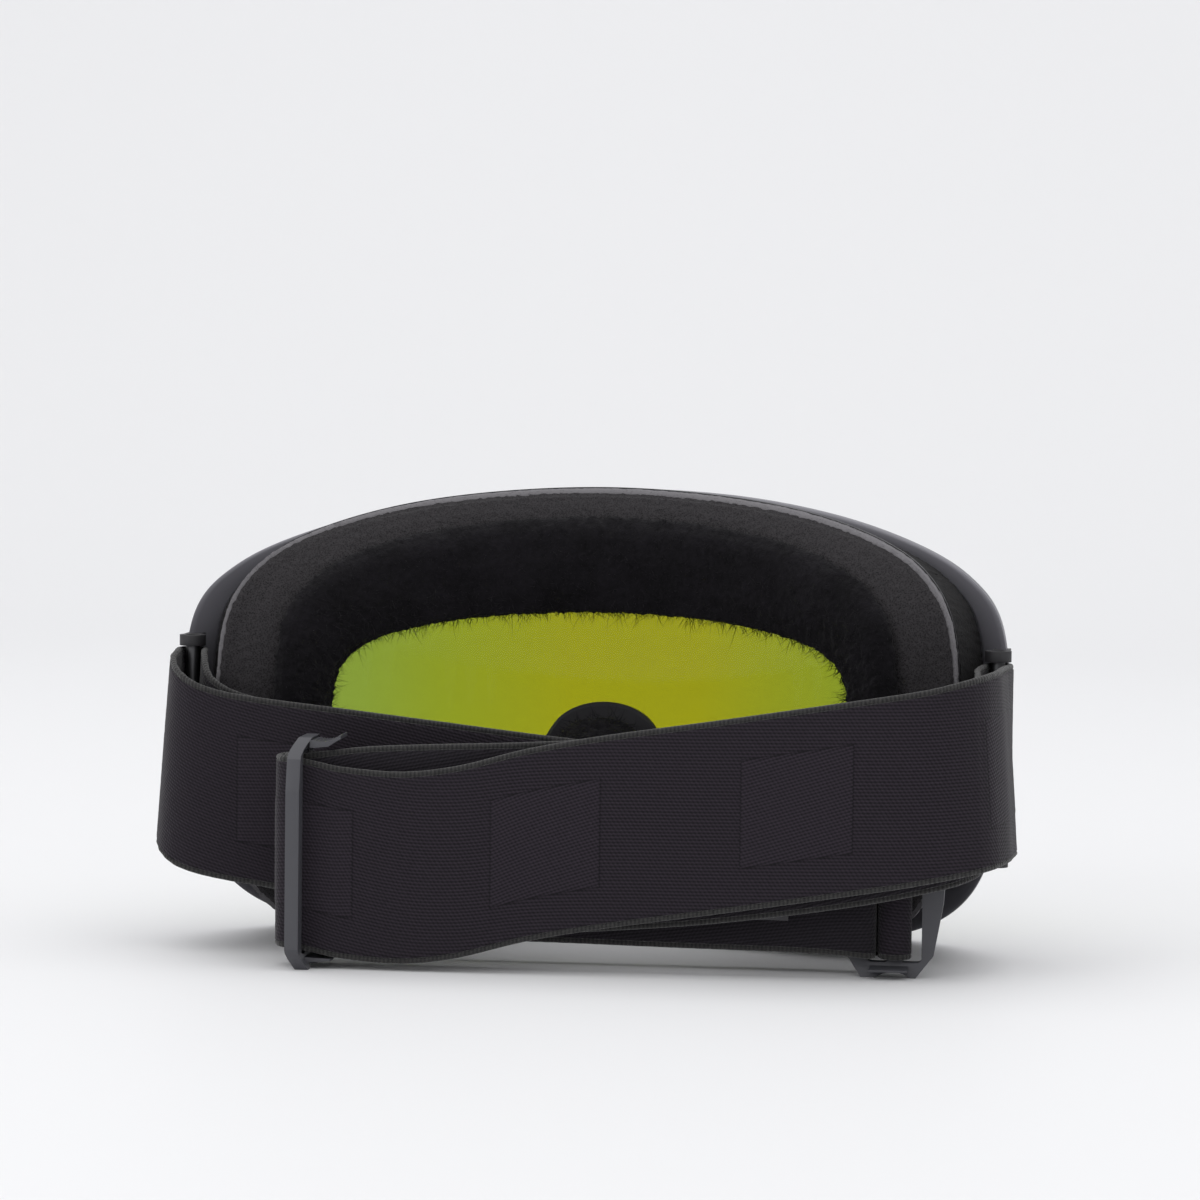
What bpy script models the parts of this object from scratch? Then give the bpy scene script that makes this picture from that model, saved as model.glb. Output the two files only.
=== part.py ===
"""Snow goggles with a folded webbing strap: solid model, metres, +Z up, lens towards +Y."""
import bpy
import bmesh
import math
from mathutils import Vector

for _old in list(bpy.data.objects):
    bpy.data.objects.remove(_old, do_unlink=True)

MM = 0.001

# ---- driving dimensions, millimetres -------------------------------------------------
GAP = 0.3                 # clearance between neighbouring pieces
STEPS = 44                # stations round half of the goggle outline

# outline of a ring: half width, top height, cheek height, nose arch height, arch radius, and how
# far its four outer corners are drawn in
RIM_OUT = (88.3, 96.4, 0.4, 33.0, 17.0, 1.1)
POCKET = (87.2, 95.7, 1.1, 33.8, 16.2, 1.1)
RIM_IN = (81.6, 94.0, 5.2, 39.0, 14.3, 1.1)
LENS_OUT = (86.9, 95.3, 1.5, 34.2, 15.9, 1.1)
LENS_IN = (79.2, 91.2, 8.0, 42.0, 13.2, 1.1)
SEAL_IN = (76.2, 88.4, 10.8, 44.5, 12.2, 1.1)
SKIRT_FRONT_OUT = (80.9, 93.2, 5.8, 39.6, 14.0, 0.8)
SKIRT_FRONT_IN = (79.3, 91.4, 7.6, 41.6, 13.4, 0.8)
SKIRT_BACK_OUT = (76.8, 94.0, 4.8, 38.6, 14.2, 0.0)
SKIRT_BACK_IN = (75.0, 92.2, 6.6, 40.4, 13.6, 0.0)
FLANGE_OUT = (78.4, 97.5, 0.8, 34.5, 14.4, 0.0)
FLANGE_IN = (58.5, 75.5, 22.0, 50.2, 15.6, 0.0)
GREY_OUT = (78.2, 97.3, 1.0, 34.8, 14.2, 0.0)
SPECK_OUT = (74.4, 95.8, 3.6, 35.6, 13.0, 0.0)
FLEECE_OUT = (65.4, 91.4, 9.0, 37.6, 11.6, 0.0)
RIDGE_OUT = (61.5, 87.0, 14.0, 40.0, 10.8, 0.0)
RIDGE_IN = (55.4, 71.8, 25.0, 45.0, 12.2, 0.0)
FOAM_IN = (57.6, 74.2, 23.2, 46.4, 10.2, 0.0)
FLEECE_IN = (54.9, 71.0, 25.8, 48.4, 12.8, 0.0)

# front to back curve of a ring edge: y on the centre line, radius of the sweep round the face
BACK_TOP = 12.0           # rear flange, outer edge, on the centre line
SWEEP_LENS = 108.0
SWEEP_FLANGE = 106.0
SWEEP_OPENING = 87.0
RIM_FRONT_Y = 40.0
RIM_SEAT_Y = 37.4
RIM_BACK_Y = 33.0
LENS_THICK = 1.2
LENS_SPACE = 3.6          # air gap between the two panes
FLANGE_THICK = 2.0
GREY_THICK = 5.0
FLEECE_THICK = 2.2

# upright bar that the webbing loops round, held between two lugs on the rim
BAR_X = 85.8
BAR_Y = -15.2
BAR_R = 1.5
BAR_PLAY = 0.08
LUG_TOP = (63.3, 65.6)
LUG_LOW = (20.2, 22.5)
LUG_R = 2.8

# webbing
WEB_W = 39.6
WEB_T = 1.4
LEAN = 1.35               # the upper edge of the webbing leans in by this much past the bars
LOOP_R = 2.65             # middle of the webbing round a bar
SEWN_R = 2.85             # middle of the sewn loop round a slider's centre bar
TURN_R = 4.55             # middle of the webbing laid over that loop

# strap slider
SLIDE_H = 47.6
SLIDE_T = 2.8
SLOT_IN = 1.2             # slots, from the middle of the plate
SLOT_OUT = 5.6
SLOT_LOW = 3.0
SLOT_TOP = 45.2
BOW_LOW = 3.2             # the plate is flat between these heights
BOW_HIGH = 44.3
LEFT_SLIDE = (-55.7, -49.3)
RIGHT_SLIDE = (66.5, -40.0)

MAIN = bpy.data.collections.new("ski_goggles")
bpy.context.scene.collection.children.link(MAIN)
CUTS = bpy.data.collections.new("cutters")
bpy.context.scene.collection.children.link(CUTS)

_materials = {}


def material(name, color, rough, metal=0.0, transmission=0.0):
    if name in _materials:
        return _materials[name]
    mat = bpy.data.materials.new(name)
    mat.use_nodes = True
    shader = mat.node_tree.nodes["Principled BSDF"]
    shader.inputs["Base Color"].default_value = (color[0], color[1], color[2], 1.0)
    shader.inputs["Roughness"].default_value = rough
    shader.inputs["Metallic"].default_value = metal
    shader.inputs["Transmission Weight"].default_value = transmission
    mat.diffuse_color = (color[0], color[1], color[2], 1.0)
    _materials[name] = mat
    return mat


def finish(obj, mat, collection=MAIN, smooth_deg=35.0):
    for col in list(obj.users_collection):
        col.objects.unlink(obj)
    collection.objects.link(obj)
    if mat is not None:
        obj.data.materials.clear()
        obj.data.materials.append(mat)
    if smooth_deg > 0:
        for poly in obj.data.polygons:
            poly.use_smooth = True
        obj.data.set_sharp_from_angle(angle=math.radians(smooth_deg))
    return obj


def mesh_object(name, verts, faces):
    mesh = bpy.data.meshes.new(name)
    mesh.from_pydata([(x * MM, y * MM, z * MM) for x, y, z in verts], [], faces)
    bm = bmesh.new()
    bm.from_mesh(mesh)
    bmesh.ops.recalc_face_normals(bm, faces=bm.faces)
    bm.to_mesh(mesh)
    bm.free()
    obj = bpy.data.objects.new(name, mesh)
    bpy.context.scene.collection.objects.link(obj)
    return obj


def spline(points, t):
    """Catmull-Rom point at t (0..1 over the given points); the ends are mirrored in x."""
    last = len(points) - 1
    pos = min(max(t * last, 0.0), last - 1e-9)
    i = int(pos)
    f = pos - i
    before = points[i - 1] if i > 0 else (-points[1][0],) + tuple(points[1][1:])
    after = points[i + 2] if i + 2 <= last else (-points[last - 1][0],) + tuple(points[last - 1][1:])
    a = points[i]
    b = points[i + 1]
    out = []
    for k in range(len(a)):
        p0, p1, p2, p3 = before[k], a[k], b[k], after[k]
        value = 2 * p1 + (p2 - p0) * f
        value += (2 * p0 - 5 * p1 + 4 * p2 - p3) * f * f
        value += (3 * p1 - p0 - 3 * p2 + p3) * f * f * f
        out.append(0.5 * value)
    return out


def half_outline(dims):
    """Control points from the brow centre, out over the cheek and up into the nose arch."""
    w, top, low, nose, arch, corner = dims
    h = top - low
    pts = [(0.0, top), (0.30 * w, low + 0.988 * h), (0.56 * w, low + 0.957 * h - 0.6 * corner)]
    pts += [(0.77 * w, low + 0.904 * h - 1.1 * corner), (0.90 * w, low + 0.838 * h - corner)]
    pts += [(0.975 * w, low + 0.74 * h), (1.0 * w, low + 0.59 * h)]
    pts += [(0.995 * w, low + 0.42 * h), (0.955 * w, low + 0.20 * h + 0.7 * corner)]
    pts += [(0.87 * w, low + 0.07 * h + 1.1 * corner), (0.72 * w, low + 0.006 * h + 0.4 * corner)]
    pts += [(0.54 * w, low), (0.39 * w, low + 0.05 * h)]
    pts += [(0.75 * arch + 0.115 * w, low + 0.42 * (nose - low))]
    pts += [(0.97 * arch, nose - 0.82 * arch), (0.58 * arch, nose - 0.19 * arch), (0.0, nose)]
    return pts


def sweep_y(apex, radius, x):
    return apex - (radius - math.sqrt(radius * radius - min(abs(x), radius - 1.0) ** 2))


def station(dims, apex, radius, t):
    x, z = spline(half_outline(dims), t)
    return (x, sweep_y(apex, radius, x), z)


def ring(name, section, mat, start=0.0, end=1.0, steps=STEPS, mirrored=True, side=1.0):
    """Closed section swept round the outline; section = list of (outline, apex y, sweep)."""
    verts = []
    faces = []
    n = len(section)
    for i in range(steps + 1):
        t = start + (end - start) * i / steps
        for dims, apex, radius in section:
            x, y, z = station(dims, apex, radius, t)
            if mirrored and ((i == 0 and start == 0.0) or (i == steps and end == 1.0)):
                x = 0.0
            verts.append((x * side, y, z))
    for i in range(steps):
        for k in range(n):
            a = i * n + k
            b = i * n + (k + 1) % n
            faces.append((a, b, b + n, a + n))
    if not (mirrored and start == 0.0):
        faces.append(tuple(range(n - 1, -1, -1)))
    if not (mirrored and end == 1.0):
        faces.append(tuple(range(steps * n, steps * n + n)))
    obj = mesh_object(name, verts, faces)
    if mirrored:
        mod = obj.modifiers.new("both sides", "MIRROR")
        mod.use_axis = (True, False, False)
        mod.use_clip = True
        mod.merge_threshold = 0.00001
        apply_modifiers(obj)
    return finish(obj, mat)


def apply_modifiers(obj):
    bpy.context.view_layer.update()
    graph = bpy.context.evaluated_depsgraph_get()
    mesh = bpy.data.meshes.new_from_object(obj.evaluated_get(graph))
    obj.modifiers.clear()
    obj.data = mesh
    bm = bmesh.new()
    bm.from_mesh(mesh)
    bmesh.ops.recalc_face_normals(bm, faces=bm.faces)
    bm.to_mesh(mesh)
    bm.free()


def boolean(obj, other, operation):
    other.hide_render = True
    other.display_type = "WIRE"
    mod = obj.modifiers.new(other.name, "BOOLEAN")
    mod.operation = operation
    mod.solver = "EXACT"
    mod.object = other
    apply_modifiers(obj)


def box(name, centre, size, collection=CUTS):
    bpy.ops.mesh.primitive_cube_add(size=1.0)
    obj = bpy.context.active_object
    obj.name = name
    obj.data.name = name
    for v in obj.data.vertices:
        v.co = Vector([(centre[k] + v.co[k] * size[k]) * MM for k in range(3)])
    return finish(obj, None, collection, 0.0)


def rod(name, centre, radius, height, segments=24, collection=CUTS):
    bpy.ops.mesh.primitive_cylinder_add(vertices=segments, radius=radius * MM, depth=height * MM)
    obj = bpy.context.active_object
    obj.name = name
    obj.data.name = name
    for v in obj.data.vertices:
        v.co = v.co + Vector([c * MM for c in centre])
    return finish(obj, None, collection, 0.0)


def path_point(points, t):
    last = len(points) - 1
    pos = min(max(t * last, 0.0), last - 1e-9)
    i = int(pos)
    f = pos - i
    a = points[i]
    b = points[i + 1]
    p = points[i - 1] if i > 0 else [2 * a[k] - b[k] for k in range(3)]
    q = points[i + 2] if i + 2 <= last else [2 * b[k] - a[k] for k in range(3)]
    out = []
    for k in range(3):
        value = 2 * a[k] + (b[k] - p[k]) * f
        value += (2 * p[k] - 5 * a[k] + 4 * b[k] - q[k]) * f * f
        value += (3 * a[k] - p[k] - 3 * b[k] + q[k]) * f * f * f
        out.append(0.5 * value)
    return out


def lean_at(x, y):
    """How far the upper edge of the webbing leans in near the two bars; the lower edge leans out."""
    out = min(max((abs(x) - 74.0) / 10.0, 0.0), 1.0)
    back = min(max((-16.0 - y) / 8.0, 0.0), 1.0)
    return -math.copysign(LEAN, x) * out * back


def ribbon(name, points, width, thickness, mat, per_span=4):
    """Webbing standing on edge: path in plan with a centre height, given thickness both sides."""
    count = (len(points) - 1) * per_span
    verts = []
    for i in range(count + 1):
        x, y, z = path_point(points, i / count)
        lean = lean_at(x, y)
        verts.append((x - lean, y, z - width / 2))
        verts.append((x + lean, y, z + width / 2))
    faces = [(2 * i, 2 * i + 2, 2 * i + 3, 2 * i + 1) for i in range(count)]
    obj = mesh_object(name, verts, faces)
    mod = obj.modifiers.new("thickness", "SOLIDIFY")
    mod.thickness = thickness * MM
    mod.offset = 0.0
    mod.use_even_offset = True
    apply_modifiers(obj)
    return finish(obj, mat)


def turn(centre, radius, start, end, z_start, z_end, count):
    """Points of a level turn round an upright axis, angles in degrees from +X."""
    points = []
    for i in range(count):
        f = i / (count - 1)
        angle = math.radians(start + (end - start) * f)
        x = centre[0] + radius * math.cos(angle)
        y = centre[1] + radius * math.sin(angle)
        points.append((x, y, z_start + (z_end - z_start) * f))
    return points


# ---- materials ------------------------------------------------------------------------
rim_mat = material("rim charcoal", (0.070, 0.068, 0.076), 0.42)
frame_mat = material("frame charcoal", (0.045, 0.044, 0.048), 0.55)
lens_mat = material("lens amber", (0.42, 0.42, 0.02), 0.06, 0.0, 0.6)
inner_lens_mat = material("inner pane", (0.62, 0.64, 0.30), 0.08, 0.0, 0.7)
seal_mat = material("lens seal", (0.02, 0.02, 0.02), 0.95)
vent_mat = material("vent foam", (0.018, 0.018, 0.019), 0.98)
grey_mat = material("grey foam", (0.105, 0.102, 0.105), 0.96)
speck_mat = material("speckled foam", (0.040, 0.040, 0.040), 0.97)
fleece_mat = material("fleece", (0.012, 0.011, 0.013), 1.0)
bar_mat = material("strap bar", (0.35, 0.35, 0.36), 0.35, 1.0)
web_mat = material("webbing", (0.024, 0.019, 0.026), 0.92)
slide_mat = material("slider", (0.060, 0.060, 0.066), 0.40)
grip_mat = material("grip silicone", (0.030, 0.030, 0.032), 0.50)

# ---- lens carrier rim and panes ----------------------------------------------------------
rim = ring("lens_rim", [
    (RIM_OUT, RIM_FRONT_Y, SWEEP_LENS), (RIM_OUT, RIM_BACK_Y, SWEEP_LENS),
    (RIM_IN, RIM_BACK_Y, SWEEP_LENS), (RIM_IN, RIM_SEAT_Y, SWEEP_LENS),
    (POCKET, RIM_SEAT_Y, SWEEP_LENS), (POCKET, RIM_FRONT_Y, SWEEP_LENS)], rim_mat)


def pane(name, dims, apex, mat, columns=STEPS):
    """Cylindrical pane: one sheet filling the outline, then thickened."""
    verts = []
    faces = []
    for i in range(columns + 1):
        t = i / columns
        x, z = spline(half_outline(dims), t)
        if i in (0, columns):
            x = 0.0
        verts.append((x, z))
    ordered = verts + [(-x, z) for x, z in reversed(verts[1:-1])]
    bm = bmesh.new()
    ring_verts = [bm.verts.new((x * MM, 0.0, z * MM)) for x, z in ordered]
    bm.faces.new(ring_verts)
    cuts = 26
    for k in range(1, cuts):
        at = -dims[0] + 2 * dims[0] * k / cuts
        geom = bm.verts[:] + bm.edges[:] + bm.faces[:]
        bmesh.ops.bisect_plane(bm, geom=geom, plane_co=(at * MM, 0, 0), plane_no=(1, 0, 0), dist=1e-7)
    for v in bm.verts:
        v.co.y = sweep_y(apex, SWEEP_LENS, v.co.x / MM) * MM
    bmesh.ops.triangulate(bm, faces=bm.faces[:])
    bmesh.ops.recalc_face_normals(bm, faces=bm.faces)
    mesh = bpy.data.meshes.new(name)
    bm.to_mesh(mesh)
    bm.free()
    obj = bpy.data.objects.new(name, mesh)
    bpy.context.scene.collection.objects.link(obj)
    out_verts = [v.co.copy() for v in mesh.vertices]
    polys = [tuple(p.vertices) for p in mesh.polygons]
    n = len(out_verts)
    edges = {}
    for poly in polys:
        for a, b in zip(poly, poly[1:] + poly[:1]):
            edges[(a, b)] = edges.get((a, b), 0) + 1
    rim_edges = [e for e in edges if (e[1], e[0]) not in edges]
    all_verts = [(v.x / MM, v.y / MM, v.z / MM) for v in out_verts]
    all_verts += [(v.x / MM, v.y / MM - LENS_THICK, v.z / MM) for v in out_verts]
    all_faces = polys + [tuple(n + k for k in reversed(p)) for p in polys]
    all_faces += [(b, a, a + n, b + n) for a, b in rim_edges]
    bpy.data.objects.remove(obj, do_unlink=True)
    return finish(mesh_object(name, all_verts, all_faces), mat)


outer_pane_y = RIM_SEAT_Y + GAP + LENS_THICK
pane("lens_outer", LENS_OUT, outer_pane_y, lens_mat)
inner_pane_y = outer_pane_y - LENS_THICK - LENS_SPACE
pane("lens_inner", LENS_IN, inner_pane_y, inner_lens_mat)
seal_front = outer_pane_y - LENS_THICK - GAP
seal_back = inner_pane_y + GAP
ring("lens_seal", [
    (LENS_IN, seal_front, SWEEP_LENS), (LENS_IN, seal_back, SWEEP_LENS),
    (SEAL_IN, seal_back, SWEEP_LENS), (SEAL_IN, seal_front, SWEEP_LENS)], seal_mat)

# ---- face frame: skirt and rear flange in one moulding ------------------------------------
skirt_front_y = RIM_BACK_Y - GAP
frame = ring("face_frame", [
    (SKIRT_FRONT_OUT, skirt_front_y, SWEEP_LENS),
    (SKIRT_BACK_OUT, BACK_TOP + FLANGE_THICK, SWEEP_FLANGE),
    (FLANGE_OUT, BACK_TOP + FLANGE_THICK, SWEEP_FLANGE),
    (FLANGE_OUT, BACK_TOP, SWEEP_FLANGE),
    (FLANGE_IN, BACK_TOP - 2.0, SWEEP_OPENING),
    (FLANGE_IN, BACK_TOP - 2.0 + FLANGE_THICK, SWEEP_OPENING),
    (SKIRT_BACK_IN, BACK_TOP + FLANGE_THICK + 0.4, SWEEP_FLANGE),
    (SKIRT_FRONT_IN, skirt_front_y, SWEEP_LENS)], frame_mat)

# vent windows through the skirt: two over the brow and one further out, each side
for side in (-1, 1):
    for dist, wide in ((14.0, 20.0), (42.0, 18.0)):
        swing = math.asin(dist / SWEEP_LENS)
        depth = sweep_y(24.0, SWEEP_LENS, dist)
        cut = box("brow_vent", (0, 0, 0), (wide, 8.0, 14.0))
        cut.location = (side * dist * MM, depth * MM, 92.0 * MM)
        cut.rotation_euler = (0, 0, -side * swing)
        boolean(frame, cut, "DIFFERENCE")
    cut = box("cheek_vent", (0, 0, 0), (17.0, 7.0, 12.0))
    cut.location = (side * 47.0 * MM, sweep_y(23.0, SWEEP_LENS, 47.0) * MM, 5.0 * MM)
    cut.rotation_euler = (0, 0, -side * math.asin(47.0 / SWEEP_LENS))
    boolean(frame, cut, "DIFFERENCE")


def grown(dims, by):
    return (dims[0] + by, dims[1] + by, dims[2] - by, dims[3] - by, dims[4] - by, dims[5])


# ---- vent foam bands lying in the channel between rim and flange --------------------------
VENT_LOW = 0.45
VENT_THICK = 1.3
band = [
    (grown(SKIRT_FRONT_OUT, VENT_LOW), skirt_front_y - 0.6, SWEEP_LENS),
    (grown(SKIRT_BACK_OUT, VENT_LOW), BACK_TOP + FLANGE_THICK + 0.5, SWEEP_FLANGE),
    (grown(SKIRT_BACK_OUT, VENT_LOW + VENT_THICK), BACK_TOP + FLANGE_THICK + 0.5, SWEEP_FLANGE),
    (grown(SKIRT_FRONT_OUT, VENT_LOW + VENT_THICK), skirt_front_y - 0.6, SWEEP_LENS)]
ring("vent_foam_top", band, vent_mat, 0.0, 0.235, 14)
for side, word in ((-1, "left"), (1, "right")):
    ring("vent_foam_side_" + word, band, vent_mat, 0.25, 0.52, 14, False, side)
    ring("vent_foam_cheek_" + word, band, vent_mat, 0.535, 0.75, 12, False, side)

# ---- face cushion: grey base, speckled middle, fleece lining --------------------------------
base_y = BACK_TOP - GAP
grey_y = base_y - GREY_THICK
speck_y = grey_y - GAP
ring("foam_base_grey", [
    (GREY_OUT, base_y, SWEEP_FLANGE), (grown(GREY_OUT, -0.9), grey_y, SWEEP_FLANGE),
    (grown(FOAM_IN, 0.6), grey_y - 2.0, SWEEP_OPENING),
    (grown(FOAM_IN, 0.6), base_y - 2.0, SWEEP_OPENING)], grey_mat)
ring("foam_middle_speckled", [
    (grown(GREY_OUT, -0.9), speck_y, SWEEP_FLANGE),
    (SPECK_OUT, speck_y - 2.6, SWEEP_FLANGE),
    (FLEECE_OUT, speck_y - 6.6, 96.0),
    (grown(RIDGE_OUT, -1.0), speck_y - 9.4, 92.0),
    (grown(RIDGE_IN, 2.0), speck_y - 8.6, 90.0),
    (grown(FOAM_IN, 0.6), speck_y - 2.0, SWEEP_OPENING)], speck_mat)
NAP = 0.45                # distance the lining stands off the foam under it
ring("face_fleece", [
    (FLEECE_OUT, speck_y - 6.6 - NAP, 96.0),
    (grown(FLEECE_OUT, 0.2), speck_y - 8.6, 96.0),
    (RIDGE_OUT, speck_y - 9.6 - FLEECE_THICK, 92.0),
    (RIDGE_IN, speck_y - 8.8 - FLEECE_THICK, 90.0),
    (FLEECE_IN, speck_y - 3.0, SWEEP_OPENING),
    (grown(FLEECE_IN, 1.4), speck_y - 3.0, SWEEP_OPENING),
    (grown(RIDGE_IN, 1.4), speck_y - 8.6 - NAP, 90.0),
    (grown(RIDGE_OUT, -1.0), speck_y - 9.4 - NAP, 92.0)], fleece_mat)

# ---- upright strap bars in their lugs ----------------------------------------------------------
for side, word in ((-1, "left"), (1, "right")):
    for low, high in (LUG_LOW, LUG_TOP):
        middle = (low + high) / 2
        lug = rod("lug", (side * BAR_X, BAR_Y, middle), LUG_R, high - low)
        root = box("lug_root", (side * (BAR_X + 0.7), BAR_Y + 4.4, middle), (3.4, 8.0, high - low))
        boolean(lug, root, "UNION")
        boolean(rim, lug, "UNION")
    middle = (LUG_LOW[0] + LUG_TOP[1]) / 2
    tall = LUG_TOP[1] - LUG_LOW[0]
    bore = rod("lug_bore", (side * BAR_X, BAR_Y, middle), BAR_R + BAR_PLAY, tall + 20.0, 20)
    boolean(rim, bore, "DIFFERENCE")
    bar = rod("strap_bar_" + word, (0, 0, middle), BAR_R, tall - 0.6, 20, MAIN)
    bar.location = (side * BAR_X * MM, BAR_Y * MM, 0)
    finish(bar, bar_mat)
finish(rim, rim_mat)

# ---- strap: one length of webbing, both ends sewn round slider bars ----------------------------
sewn_right = turn(RIGHT_SLIDE, SEWN_R, 185, 435, 23.4, 23.3, 7)
inner_a = [
    (60.8, -35.3, 23.3), (52.0, -33.8, 23.7), (30.0, -33.4, 24.7), (0.0, -33.4, 26.4),
    (-30.0, -33.4, 29.2), (-52.0, -33.4, 31.6), (-66.0, -33.4, 33.7), (-74.0, -32.7, 35.8),
    (-79.2, -30.4, 38.2), (-81.6, -27.0, 40.8), (-82.8, -22.0, 42.8)]
loop_left = turn((-BAR_X, BAR_Y), LOOP_R, 0, 180, 43.1, 43.2, 5)
outer_a = [
    (-88.8, -21.5, 43.2), (-88.9, -27.0, 42.4), (-86.8, -32.6, 40.0), (-82.6, -35.7, 37.6),
    (-76.0, -36.6, 35.8), (-66.0, -36.7, 34.3), (-52.0, -36.7, 32.8), (-30.0, -36.7, 30.4),
    (0.0, -36.7, 27.2), (30.0, -36.7, 25.0), (50.0, -36.8, 23.8), (59.2, -37.3, 23.4)]
turn_right = [(61.9, -38.6, 23.4), (62.0, -40.4, 23.4), (61.9, -42.4, 23.5), (60.8, -44.0, 23.7)]
strand_c = [
    (58.4, -44.7, 24.0), (54.0, -44.7, 24.4), (45.0, -44.7, 24.7), (20.0, -44.8, 25.0), (-10.0, -44.9, 25.4),
    (-33.0, -44.8, 25.0), (-48.0, -44.9, 24.5), (-52.6, -44.9, 24.3)]
turn_left = turn(LEFT_SLIDE, TURN_R, 90, 270, 24.2, 23.8, 5)
outer_b = [
    (-51.0, -54.0, 22.9), (-46.0, -54.1, 22.0), (-34.0, -54.2, 21.3), (-22.0, -54.4, 22.9),
    (-8.0, -54.8, 26.7), (8.0, -55.0, 29.8), (30.0, -54.8, 33.2), (55.0, -55.2, 37.3),
    (72.0, -53.9, 40.1), (83.0, -48.6, 42.4), (87.4, -40.4, 43.4), (88.4, -32.0, 43.6),
    (88.8, -24.0, 43.4)]
loop_right = turn((BAR_X, BAR_Y), LOOP_R, 0, 180, 43.2, 43.1, 5)
inner_b = [
    (82.8, -22.0, 42.8), (83.4, -32.0, 41.8), (81.0, -43.2, 40.2), (73.6, -50.2, 38.2),
    (56.0, -52.2, 34.8), (30.0, -51.9, 31.0), (8.0, -51.4, 28.9), (-10.0, -51.0, 27.6),
    (-28.0, -50.8, 26.8), (-42.0, -51.0, 26.0), (-51.0, -51.9, 24.8)]
sewn_left = turn(LEFT_SLIDE, SEWN_R, 270, 90, 24.3, 24.1, 5)
end_b = [(-51.0, -47.0, 24.4), (-46.0, -47.9, 25.0), (-38.5, -48.0, 25.6)]
strap_path = sewn_right + inner_a + loop_left + outer_a + turn_right + strand_c
strap_path += turn_left + outer_b + loop_right + inner_b + sewn_left + end_b
ribbon("strap_webbing", strap_path, WEB_W, WEB_T, web_mat)


# ---- sliders -------------------------------------------------------------------------------------
def flat_plate(name, outlines, thickness):
    """Plate standing in the XZ plane: the first outline is its edge, the others are openings."""
    curve = bpy.data.curves.new(name, "CURVE")
    curve.dimensions = "2D"
    curve.fill_mode = "BOTH"
    curve.extrude = thickness / 2 * MM
    for outline in outlines:
        line = curve.splines.new("POLY")
        line.points.add(len(outline) - 1)
        for point, (x, z) in zip(line.points, outline):
            point.co = (x * MM, z * MM, 0.0, 1.0)
        line.use_cyclic_u = True
    flat = bpy.data.objects.new(name + "_outline", curve)
    bpy.context.scene.collection.objects.link(flat)
    bpy.context.view_layer.update()
    graph = bpy.context.evaluated_depsgraph_get()
    mesh = bpy.data.meshes.new_from_object(flat.evaluated_get(graph))
    bpy.data.objects.remove(flat, do_unlink=True)
    bm = bmesh.new()
    bm.from_mesh(mesh)
    bmesh.ops.remove_doubles(bm, verts=bm.verts[:], dist=1e-6)
    for v in bm.verts:
        v.co = Vector((v.co.x, -v.co.z, v.co.y))
    bmesh.ops.recalc_face_normals(bm, faces=bm.faces[:])
    bm.to_mesh(mesh)
    bm.free()
    obj = bpy.data.objects.new(name, mesh)
    bpy.context.scene.collection.objects.link(obj)
    return obj


# one rail is upright down to a cut corner, the other tapers to both ends; the foot is notched
SLIDE_EDGE = [
    (-9.9, 4.4), (-6.8, 0.0), (-3.9, 0.0), (-2.2, 0.8), (0.0, 1.15), (1.9, 0.8), (3.4, 0.0),
    (4.5, 0.0), (8.0, 4.4), (9.9, 15.0), (10.4, 24.0), (10.0, 32.0), (8.2, 43.2), (4.6, SLIDE_H),
    (-4.6, SLIDE_H), (-8.4, 43.4), (-9.9, 37.0)]


def slider_bow(z):
    """How far the plate bends towards its thumb tabs at its two ends."""
    low = max(0.0, 1.0 - z / BOW_LOW)
    high = max(0.0, (z - BOW_HIGH) / (SLIDE_H - BOW_HIGH))
    return 1.6 * low + 1.7 * high ** 1.3


def slider(name, place, plate_turn, mat):
    """Plate with a centre bar and two slots; thumb tabs stand off its -Y face, foot and top."""
    slots = [[(way * SLOT_IN, SLOT_LOW), (way * SLOT_OUT, SLOT_LOW),
              (way * SLOT_OUT, SLOT_TOP), (way * SLOT_IN, SLOT_TOP)] for way in (-1, 1)]
    body = flat_plate(name, [SLIDE_EDGE] + slots, SLIDE_T)
    bm = bmesh.new()
    bm.from_mesh(body.data)
    for level in (BOW_LOW, BOW_HIGH, 45.8):
        geom = bm.verts[:] + bm.edges[:] + bm.faces[:]
        bmesh.ops.bisect_plane(bm, geom=geom, plane_co=(0, 0, level * MM), plane_no=(0, 0, 1), dist=1e-7)
    for v in bm.verts:
        v.co.y -= slider_bow(v.co.z / MM) * MM
    bm.to_mesh(body.data)
    bm.free()
    upper = box("upper_tab", (-1.0, -5.4, SLIDE_H - 0.3), (7.8, 6.8, 1.8))
    boolean(body, upper, "UNION")
    lower = box("lower_tab", (-1.0, -4.1, 2.1), (7.6, 6.2, 0.7))
    boolean(body, lower, "UNION")
    body.location = Vector((place[0] * MM, place[1] * MM, 0))
    body.rotation_euler = (0, 0, math.radians(plate_turn))
    return finish(body, mat)


slider("slider_left", LEFT_SLIDE, 90.0, slide_mat)
slider("slider_right", RIGHT_SLIDE, 0.0, slide_mat)

# ---- silicone grip lines on the inner side of the webbing -----------------------------------------
for index in range(3):
    drop = -12.0 + 12.0 * index
    line = [(x, y - WEB_T / 2 - GAP - 0.3, z + drop) for x, y, z in strand_c[2:6]]
    ribbon("grip_line_%d" % (index + 1), line, 2.2, 0.5, grip_mat, 3)

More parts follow.
